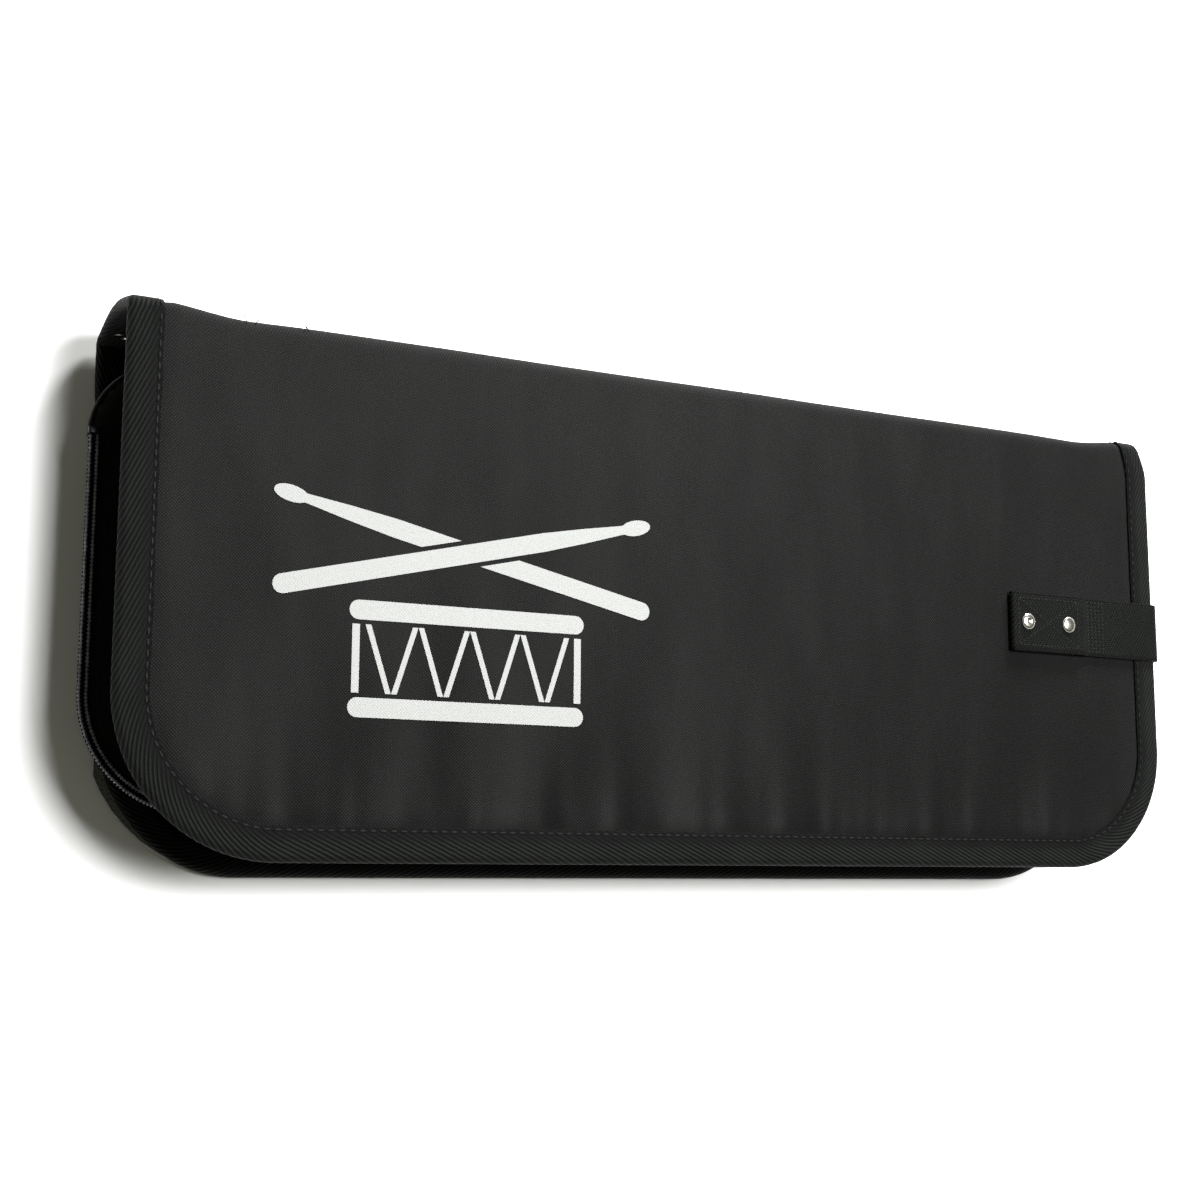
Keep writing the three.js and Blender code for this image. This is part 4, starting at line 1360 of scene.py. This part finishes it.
WEBBING_EDGE = 0.35 * MM                        # how far the webbing's edges are rounded

def webbing_strip(path, low_y, high_y, lift=None):
    """Webbing along a path of (x, z) points in mid-thickness, from one side to the other."""
    middle = (low_y + high_y) / 2
    offsets = spread(low_y - middle, high_y - middle, 3 * MM)
    lengths = running_lengths(path)

    def place(i, j):
        x, z = path[i]
        y = middle + offsets[j]
        return Vector((x, y, z + (lift(x, y, z) if lift else 0)))

    return surface(
        len(path) - 1, len(offsets) - 1, place, lambda i, j: (lengths[i], offsets[j]))


def bend(centre, radius, start, end, steps):
    """Points on an arc in the (x, z) plane."""
    return [
        (centre[0] + radius * math.cos(turn), centre[1] + radius * math.sin(turn))
        for turn in spread(start, end, abs(end - start) / steps)
    ]


def line_to(points, target, step):
    """Adds evenly spaced points from the last one to a target."""
    start = points[-1]
    count = max(1, round(math.dist(start, target) / step))
    for i in range(1, count + 1):
        share = i / count
        points.append(tuple(near + (far - near) * share for near, far in zip(start, target)))


def strap_levels():
    """Heights of the strap's lower and upper layers in mid-thickness, and the end of the fold."""
    low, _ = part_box("strap_base")
    lower = low.z + sizes().webbing / 2
    return lower, lower + sizes().webbing + 0.1 * MM, low.x + 38 * MM


def strap_lift(x, y, z):
    """The strap follows the crown of the cover until it reaches the edge."""
    on_top = ramp(z, FRONT_TOP_Z - 2 * MM, FRONT_TOP_Z + 0.5 * MM)
    inside = 1 - ramp(x, RIGHT - 16 * MM, RIGHT)
    return max(cover_rise(min(x, RIGHT - TAPE_REACH - 2 * MM), y), 0) * on_top * inside


def make_strap():
    """One length of webbing: doubled under the rivets, over the edge and down to the back leaf."""
    low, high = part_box("strap_base")
    tail_low, tail_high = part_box("strap_tail")
    lower, upper, fold_end = strap_levels()
    fold_radius = (upper - lower) / 2
    tail_x = (tail_low.x + tail_high.x) / 2
    turn = 3.3 * MM
    path = [(fold_end - 1.5 * MM, lower)]
    line_to(path, (low.x + fold_radius + sizes().webbing / 2, lower), 3 * MM)
    path += bend(
        (low.x + fold_radius + sizes().webbing / 2, lower + fold_radius), fold_radius,
        -QUARTER_TURN, -QUARTER_TURN - HALF_TURN, 8)[1:]
    line_to(path, (fold_end, upper), 3 * MM)
    # Past the end of the under layer the strap steps down on to the cover.
    step_down = ((2.2 * MM, upper - 0.45 * MM), (4.6 * MM, lower + 0.15 * MM), (6.5 * MM, lower))
    for past, height in step_down:
        line_to(path, (fold_end + past, height), 1.2 * MM)
    line_to(path, (tail_x - turn, lower), 2.5 * MM)
    path += bend((tail_x - turn, lower - turn), turn, QUARTER_TURN, 0, 10)[1:]
    line_to(path, (tail_x, tail_low.z), 2.5 * MM)
    bm = webbing_strip(path, low.y, high.y, strap_lift)
    bmesh.ops.recalc_face_normals(bm, faces=bm.faces)
    tail = min(bm.faces, key=lambda face: face.calc_center_median().z)
    if tail.normal.x < 0:
        bmesh.ops.reverse_faces(bm, faces=bm.faces)
    made = piece(
        "closure_strap", bm, "webbing",
        fold=("front_leaf", "strap", (tail_x - turn, 0, lower), (tail_x, 0, lower - turn)),
        stands_for=["strap_base", "strap_tail"], wall=sizes().webbing, centred=True,
        bevel=WEBBING_EDGE)
    running_lengths(path)[-1]
    return made


def make_strap_stitches():
    """The box and cross that hold the doubled end, and the close rows where the under layer stops."""
    low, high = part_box("strap_base")
    _, upper, fold_end = strap_levels()
    face = upper + sizes().webbing / 2 + 0.05 * MM
    margin = 2.6 * MM
    left, right = low.x + 3.2 * MM, fold_end - 2.0 * MM
    bottom, top = low.y + margin, high.y - margin
    up = Vector((0, 0, 1))
    pitch = 2.1 * MM

    def on_strap(x, y, z):
        return Vector((x, y, z + strap_lift(x, y, z)))

    corners = [(left, bottom), (right, bottom), (right, top), (left, top)]
    bm = bmesh.new()
    for first, second in ((0, 1), (1, 2), (2, 3), (3, 0), (0, 2), (1, 3)):
        ends = [on_strap(*corners[k], face) for k in (first, second)]
        stitch_line(bm, ends, up, pitch, 0.65 * MM)
    lower_face = upper - 1.0 * MM
    for row in range(6):
        x = fold_end + 3.4 * MM + row * 2.1 * MM
        height = lower_face + (0.45 * MM if row == 0 else 0.1 * MM)
        ends = [on_strap(x, y, height) for y in (low.y + 1.2 * MM, high.y - 1.2 * MM)]
        stitch_line(bm, ends, up, 1.5 * MM, 0.95 * MM)
    return piece("strap_stitches", bm, "thread", ride="front_leaf")


def make_tab():
    """The tab on the back leaf: webbing sewn down flat and turned up at the bag's right side."""
    low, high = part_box("closure_tab")
    half = sizes().webbing / 2
    turn = 2.2 * MM
    upright = high.x - half
    path = [(low.x, low.z + half)]
    line_to(path, (upright - turn, low.z + half), 2.5 * MM)
    path += bend((upright - turn, low.z + half + turn), turn, -QUARTER_TURN, 0, 6)[1:]
    line_to(path, (upright, high.z), 2.5 * MM)
    bm = webbing_strip(path, low.y, high.y)
    made = piece(
        "closure_tab_webbing", bm, "webbing", ride="back_leaf",
        stands_for=["closure_tab"], wall=sizes().webbing, centred=True, bevel=WEBBING_EDGE)
    stitches = bmesh.new()
    face = low.z + sizes().webbing + 0.05 * MM
    for x in (low.x + 3 * MM, low.x + 16 * MM):
        ends = [Vector((x, y, face)) for y in (low.y + 2 * MM, high.y - 2 * MM)]
        stitch_line(stitches, ends, Vector((0, 0, 1)), 2.1 * MM)
    piece("closure_tab_stitches", stitches, "thread", ride="back_leaf")
    running_lengths(path)[-1]
    return made


def make_patches():
    """A loop patch on the tab and a hook patch with rows of tiny hooks on the tail."""
    low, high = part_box("loop_patch")
    bm = bmesh.new()
    rounded_box(bm, low, high, 0.3 * MM)
    piece("loop_patch_pile", bm, "loop_pile", ride="back_leaf",
          stands_for=["loop_patch"])
    low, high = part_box("hook_patch")
    bm = bmesh.new()
    base = low.x + 0.35 * MM
    rounded_box(bm, (base, low.y, low.z), high, 0.15 * MM)
    for y in spread(low.y + 1.2 * MM, high.y - 1.2 * MM, 1.6 * MM):
        for z in spread(low.z + 1.2 * MM, high.z - 1.2 * MM, 1.6 * MM):
            place = Vector(((base + low.x) / 2 + 0.05 * MM, y, z))
            bead(bm, place, Vector((1, 0, 0.5)), Vector((0, 0, 1)), 0.55 * MM, 0.3 * MM, 0.3 * MM)
    return piece("hook_patch_hooks", bm, "hook_base", ride="strap",
                 stands_for=["hook_patch"])


# ---- Rivets and eyelet ---------------------------------------------------------------------


def make_rivet(index, dimple):
    """A capped rivet with a rolled rim; the first one has a small dimple."""
    low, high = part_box(f"rivet_{index}")
    centre = (low + high) / 2
    _, upper, _ = strap_levels()
    lift = strap_lift(centre.x, centre.y, upper)
    seat = upper + sizes().webbing / 2 + lift
    radius = (high.x - low.x) / 2
    shank = 1.5 * MM
    cap = [
        (shank, low.z - seat), (shank, -0.1 * MM), (radius * 0.94, -0.1 * MM), (radius, 0.15 * MM),
        (radius * 0.985, 0.45 * MM), (radius * 0.9, 0.78 * MM), (radius * 0.72, 1.05 * MM),
        (radius * 0.48, 1.22 * MM), (radius * 0.24, (1.3 - dimple * 0.1) * MM),
        (radius * 0.12, (1.32 - dimple * 0.6) * MM), (0, (1.33 - dimple * 0.75) * MM),
    ]
    bm = bmesh.new()
    lathe(bm, [(0, low.z - seat)] + cap, Vector((centre.x, centre.y, seat)), (0, 0, 1))
    return piece(f"rivet_{index}_cap", bm, "nickel", ride="front_leaf",
                 stands_for=[f"rivet_{index}"], soft=60)


def make_eyelet():
    """A rolled eyelet through the left end of the spine."""
    low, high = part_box("spine_eyelet")
    centre = settle((low + high) / 2)
    half = (high.y - low.y) / 2 + 0.35 * MM
    radius = (high.x - low.x) / 2
    bore = radius * 0.5
    profile = [
        (bore, 0), (bore, half * 0.8), (bore * 1.15, half), (radius * 0.8, half * 1.02),
        (radius, half * 0.88), (radius * 0.98, half * 0.8), (bore * 1.35, half * 0.78),
        (bore * 1.35, -half * 0.78), (radius * 0.98, -half * 0.8), (radius, -half * 0.88),
        (radius * 0.8, -half * 1.02), (bore * 1.15, -half), (bore, -half * 0.8), (bore, 0),
    ]
    bm = bmesh.new()
    lathe(bm, profile, centre, (0, 1, 0))
    return piece("spine_eyelet_ring", bm, "nickel", ride="spine",
                 stands_for=["spine_eyelet"], soft=60)


# ---- Print ---------------------------------------------------------------------------------

PRINT_CENTRE = Vector((LEFT + 127 * MM, FRONT_FREE + 90 * MM))


def stick_outline():
    """A drum stick along x, centred: round butt, straight shaft, taper, and a bead tip."""
    butt, shoulder, neck, tip = -76 * MM, 30 * MM, 64 * MM, 70 * MM
    thick, thin, bead_length, bead_half = 3.5 * MM, 1.7 * MM, 6.5 * MM, 3.0 * MM
    side = []
    for turn in spread(HALF_TURN, QUARTER_TURN, HALF_TURN / 12):
        side.append((butt + thick + thick * math.cos(turn), thick * math.sin(turn)))
    side += [(shoulder, thick), ((shoulder + neck) / 2, thick * 0.8), (neck, thin)]
    for turn in spread(HALF_TURN * 0.8, 0, HALF_TURN / 9):
        side.append((tip + bead_length * math.cos(turn), bead_half * math.sin(turn)))
    return side + [(x, -y) for x, y in reversed(side[1:-1])]


def bar_outline(low_x, high_x, low_y, high_y):
    """A bar with round ends."""
    radius = (high_y - low_y) / 2
    middle = (high_y + low_y) / 2
    ends = ((high_x - radius, -QUARTER_TURN), (low_x + radius, QUARTER_TURN))
    return [
        (centre + radius * math.cos(turn), middle + radius * math.sin(turn))
        for centre, start in ends
        for turn in spread(start, start + HALF_TURN, HALF_TURN / 10)
    ]


def add_shape(bm, points, turn=0.0, shift=(0.0, 0.0), keep=None):
    """One flat printed shape. keep is (point, direction): what lies that way from the point stays."""
    part = bmesh.new()
    matrix = Matrix.Translation((*shift, 0)) @ Matrix.Rotation(turn, 4, "Z")
    face = part.faces.new([part.verts.new(matrix @ Vector((x, y, 0))) for x, y in points])
    face.normal_update()
    if face.normal.z < 0:
        face.normal_flip()
    if keep:
        cut(part, *keep, clear_inner=True)
    join(bm, part)


def make_print():
    """A plain emblem of a drum and two crossed sticks, printed on the front cover."""
    bm = bmesh.new()
    tilt = math.radians(13)
    stick = stick_outline()
    crossing = (0.0, 22 * MM)
    add_shape(bm, stick, tilt, crossing)
    across = Vector((-math.sin(tilt), math.cos(tilt), 0))
    gap = 5.2 * MM
    mirrored = [(-x, y) for x, y in stick]
    for side in (1, -1):
        edge = Vector((*crossing, 0)) + across * side * gap
        add_shape(bm, mirrored, -tilt, crossing, keep=(edge, across * side))
    half = 46 * MM                              # half the drum's width
    rim_top, rim_low = 2 * MM, -36 * MM
    hoop = 7 * MM
    add_shape(bm, bar_outline(-half, half, rim_top - hoop, rim_top))
    add_shape(bm, bar_outline(-half, half, rim_low - hoop / 2, rim_low + hoop / 2))
    shell_top, shell_low = rim_top - hoop - 1.6 * MM, rim_low + hoop / 2 + 1.6 * MM
    legs = 8                                    # slanting lines of the drum's lacing
    thick = 2.1 * MM
    inward = 1.1 * MM
    span = 2 * (half - 6 * MM)
    for i in range(legs):
        near, far = -span / 2 + span * i / legs, -span / 2 + span * (i + 1) / legs
        start, end = (shell_low, shell_top) if i % 2 else (shell_top, shell_low)
        near, far = near + inward, far - inward
        add_shape(bm, [
            (near - thick / 2, start), (near + thick / 2, start),
            (far + thick / 2, end), (far - thick / 2, end)])
    post = 1.4 * MM                             # half the width of the shell's two sides
    for side in (-1, 1):
        x = side * (half - 2.6 * MM)
        add_shape(bm, [
            (x - post, shell_low), (x + post, shell_low), (x + post, shell_top), (x - post, shell_top)])
    for axis, reach in ((0, 84 * MM), (1, 44 * MM)):
        for offset in spread(-reach, reach, 7 * MM):
            place, normal = Vector((0, 0, 0)), Vector((0, 0, 0))
            place[axis], normal[axis] = offset, 1
            cut(bm, place, normal)
    bmesh.ops.translate(bm, vec=(*PRINT_CENTRE, 0), verts=bm.verts)
    layer = bm.loops.layers.uv.new("Cloth")
    for face in bm.faces:
        for loop in face.loops:
            loop[layer].uv = loop.vert.co.xy
    ink = 0.1 * MM
    for vert in bm.verts:
        vert.co.z = FRONT_TOP_Z + cover_rise(vert.co.x, vert.co.y) + ink + 0.04 * MM
    return piece("front_print", bm, "print_ink", ride="front_leaf", wall=ink)


# ---- Loose threads -------------------------------------------------------------------------

# Millimetres from the left end, lean, and length in millimetres.
THREAD_ENDS = ((41, -0.5, 4.5), (44, 0.7, 3.0), (62, 0.5, 4.0), (64, -0.9, 3.2), (131, 0.3, 2.0))


def make_threads():
    """Short thread ends that stick out of the fold's seam."""
    bm = bmesh.new()
    for from_left, lean, length in THREAD_ENDS:
        root = settle(Vector((LEFT + from_left * MM, FOLD_Y + 2.2 * MM, FRONT_TOP_Z - 0.8 * MM)))
        points = [
            root + Vector((
                lean * length * t * t, length * t, 0.35 * length * math.sin(2.6 * t))) * MM
            for t in spread(0, 1, 0.2)
        ]
        tube(bm, points, 0.16 * MM, sides=5)
    return piece("loose_threads", bm, "thread", ride="front_leaf")


# ---- Stage ---------------------------------------------------------------------------------

CAMERA_PLACE = Vector((-0.35366, -0.09668, 0.64780))
CAMERA_RIGHT = Vector((0.88878, 0.00248, 0.45832))
CAMERA_UP = Vector((-0.07201, 0.98832, 0.13430))
CAMERA_LENS = 53.68                             # millimetres, on a sensor 36 mm wide
FLOOR_Z = -2.5 * MM                             # just under the lowest cloth
HORIZON, SKY = (0.95, 0.95, 0.93, 1), (0.06, 0.06, 0.03, 1)


def make_camera():
    """The camera, turned by the directions of its picture's right side and top."""
    data = bpy.data.cameras.new("camera")
    data.lens = CAMERA_LENS
    data.sensor_width = 36
    data.clip_start = 0.01
    camera = add_object("camera", data)
    back = CAMERA_RIGHT.cross(CAMERA_UP)
    turn = Matrix((CAMERA_RIGHT, CAMERA_UP, back)).transposed().to_4x4()
    camera.matrix_world = Matrix.Translation(CAMERA_PLACE) @ turn
    bpy.context.scene.camera = camera


def make_light(name, place, aim, size, power):
    """A square area light that faces a point."""
    data = bpy.data.lights.new(name, "AREA")
    data.shape = "SQUARE"
    data.size = size
    data.energy = power
    light = add_object(name, data)
    light.location = place
    light.rotation_euler = (Vector(aim) - Vector(place)).to_track_quat("-Z", "Y").to_euler()


def make_floor():
    """A wide pale floor."""
    bm = bmesh.new()
    bmesh.ops.create_grid(bm, x_segments=8, y_segments=8, size=6)
    bmesh.ops.translate(bm, vec=(0, 0, FLOOR_Z), verts=bm.verts)
    mesh = to_mesh("floor", bm)
    mesh.materials.append(material("floor_paint"))
    add_object("floor", mesh)


def make_world():
    """A bright horizon and a dim sky, so that the shadows under the bag stay deep."""
    world = bpy.data.worlds.new("studio")
    world.use_nodes = True
    nodes = Nodes(world.node_tree, "Background")
    _, _, height = nodes.split(nodes.node("ShaderNodeTexCoord", output="Generated"))
    nodes.feed("Color", nodes.mix(height.ramp(0.2, 0.4), HORIZON, SKY))
    bpy.context.scene.world = world
    bpy.context.scene.view_settings.view_transform = "Standard"


# ---- Operators -----------------------------------------------------------------------------


class STICKBAG_OT_stage(bpy.types.Operator):
    """Add the camera, the soft lights and the pale floor"""
    bl_idname = "stick_bag.stage"
    bl_label = "Stage"

    def execute(self, context):
        make_camera()
        make_world()
        make_floor()
        make_light("key", (0.265, 0.185, 1.42), (0, 0, 0), 0.5, 48)
        make_light("top", (0.5, 1.1, 0.42), (-0.05, 0.05, 0), 0.35, 30)
        return {"FINISHED"}


class STICKBAG_OT_padding(bpy.types.Operator):
    """Add the foam inside both leaves and the spine"""
    bl_idname = "stick_bag.padding"
    bl_label = "Padding"

    def execute(self, context):
        make_padding(FRONT)
        make_padding(BACK)
        make_spine_padding()
        return {"FINISHED"}


class STICKBAG_OT_cloth(bpy.types.Operator):
    """Add the cover cloth outside and the lining cloth inside"""
    bl_idname = "stick_bag.cloth"
    bl_label = "Cover and lining"

    def execute(self, context):
        make_cover(FRONT, ["front_cover", "spine_cover"])
        make_cover(BACK, ["back_cover"])
        make_lining(FRONT, ["front_lining", "spine_lining"])
        make_lining(BACK, ["back_lining"])
        return {"FINISHED"}


class STICKBAG_OT_binding(bpy.types.Operator):
    """Add the edge tape of both leaves and the spine, and its stitches"""
    bl_idname = "stick_bag.binding"
    bl_label = "Binding"

    def execute(self, context):
        make_binding(FRONT, ["front_binding", "spine_binding_left", "spine_binding_right"])
        make_binding(BACK, ["back_binding"])
        make_binding_stitches(FRONT)
        make_binding_stitches(BACK)
        return {"FINISHED"}


class STICKBAG_OT_sleeves(bpy.types.Operator):
    """Add the three stick sleeves with their hems and seams"""
    bl_idname = "stick_bag.sleeves"
    bl_label = "Stick sleeves"

    def execute(self, context):
        for index in (1, 2, 3):
            make_sleeve(index)
        make_sleeve_end()
        return {"FINISHED"}


class STICKBAG_OT_pocket(bpy.types.Operator):
    """Add the accessory pocket's wall, face and piping"""
    bl_idname = "stick_bag.pocket"
    bl_label = "Pocket"

    def execute(self, context):
        make_gusset()
        make_pocket_panel()
        make_pocket_piping()
        return {"FINISHED"}


class STICKBAG_OT_zip(bpy.types.Operator):
    """Add the zip's tapes, teeth, stops, slider and pull"""
    bl_idname = "stick_bag.zip"
    bl_label = "Zip"

    def execute(self, context):
        make_zip_tapes()
        make_zip_coil("zip_teeth_outer", "zip_coil_lower", 0.1 * MM, 0.0)
        make_zip_coil("zip_teeth_inner", "zip_coil_upper", CHAIN_WIDTH - 1.85 * MM, 0.5)
        make_zip_stop("zip_stop_open_end")
        make_zip_stop("zip_stop_closed_end")
        make_slider()
        make_pull()
        return {"FINISHED"}


class STICKBAG_OT_strap(bpy.types.Operator):
    """Add the closure strap, its stitches, the tab and the hook and loop patches"""
    bl_idname = "stick_bag.strap"
    bl_label = "Closure strap"

    def execute(self, context):
        make_strap()
        make_strap_stitches()
        make_tab()
        make_patches()
        return {"FINISHED"}


class STICKBAG_OT_metal(bpy.types.Operator):
    """Add the rivets and the eyelet, and plate the burrs behind the rivets"""
    bl_idname = "stick_bag.metal"
    bl_label = "Rivets and eyelet"

    def execute(self, context):
        make_rivet(1, dimple=1)
        make_rivet(2, dimple=0)
        make_eyelet()
        for index in (1, 2):
            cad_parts[f"rivet_burr_{index}"].material_slots[0].material = material("nickel")
        return {"FINISHED"}


class STICKBAG_OT_print(bpy.types.Operator):
    """Add the white emblem on the front cover"""
    bl_idname = "stick_bag.print"
    bl_label = "Print"

    def execute(self, context):
        make_print()
        return {"FINISHED"}


class STICKBAG_OT_threads(bpy.types.Operator):
    """Add the loose thread ends along the fold"""
    bl_idname = "stick_bag.threads"
    bl_label = "Loose threads"

    def execute(self, context):
        make_threads()
        return {"FINISHED"}


OPERATORS = (
    STICKBAG_OT_stage, STICKBAG_OT_padding, STICKBAG_OT_cloth, STICKBAG_OT_binding,
    STICKBAG_OT_sleeves, STICKBAG_OT_pocket, STICKBAG_OT_zip, STICKBAG_OT_strap,
    STICKBAG_OT_metal, STICKBAG_OT_print, STICKBAG_OT_threads,
)


class STICKBAG_PT_panel(bpy.types.Panel):
    """Sizes, colours and the buttons that build each part of the bag"""
    bl_idname = "STICKBAG_PT_panel"
    bl_label = "Stick bag"
    bl_space_type = "VIEW_3D"
    bl_region_type = "UI"
    bl_category = "Stick bag"

    def draw(self, context):
        for group in (context.scene.stick_bag_sizes, context.scene.stick_bag_finishes):
            column = self.layout.column()
            for name in group.__annotations__:
                column.prop(group, name)
        for operator in OPERATORS:
            self.layout.operator(operator.bl_idname)


CLASSES = (StickBagSizes, StickBagFinishes, *OPERATORS, STICKBAG_PT_panel)


def register():
    for cls in CLASSES:
        bpy.utils.register_class(cls)
    bpy.types.Scene.stick_bag_sizes = bpy.props.PointerProperty(type=StickBagSizes)
    bpy.types.Scene.stick_bag_finishes = bpy.props.PointerProperty(type=StickBagFinishes)


def unregister():
    del bpy.types.Scene.stick_bag_finishes
    del bpy.types.Scene.stick_bag_sizes
    for cls in reversed(CLASSES):
        bpy.utils.unregister_class(cls)


def main():
    register()
    for operator in OPERATORS:
        group, action = operator.bl_idname.split(".")
        getattr(getattr(bpy.ops, group), action)()


if __name__ == "__main__":
    main()
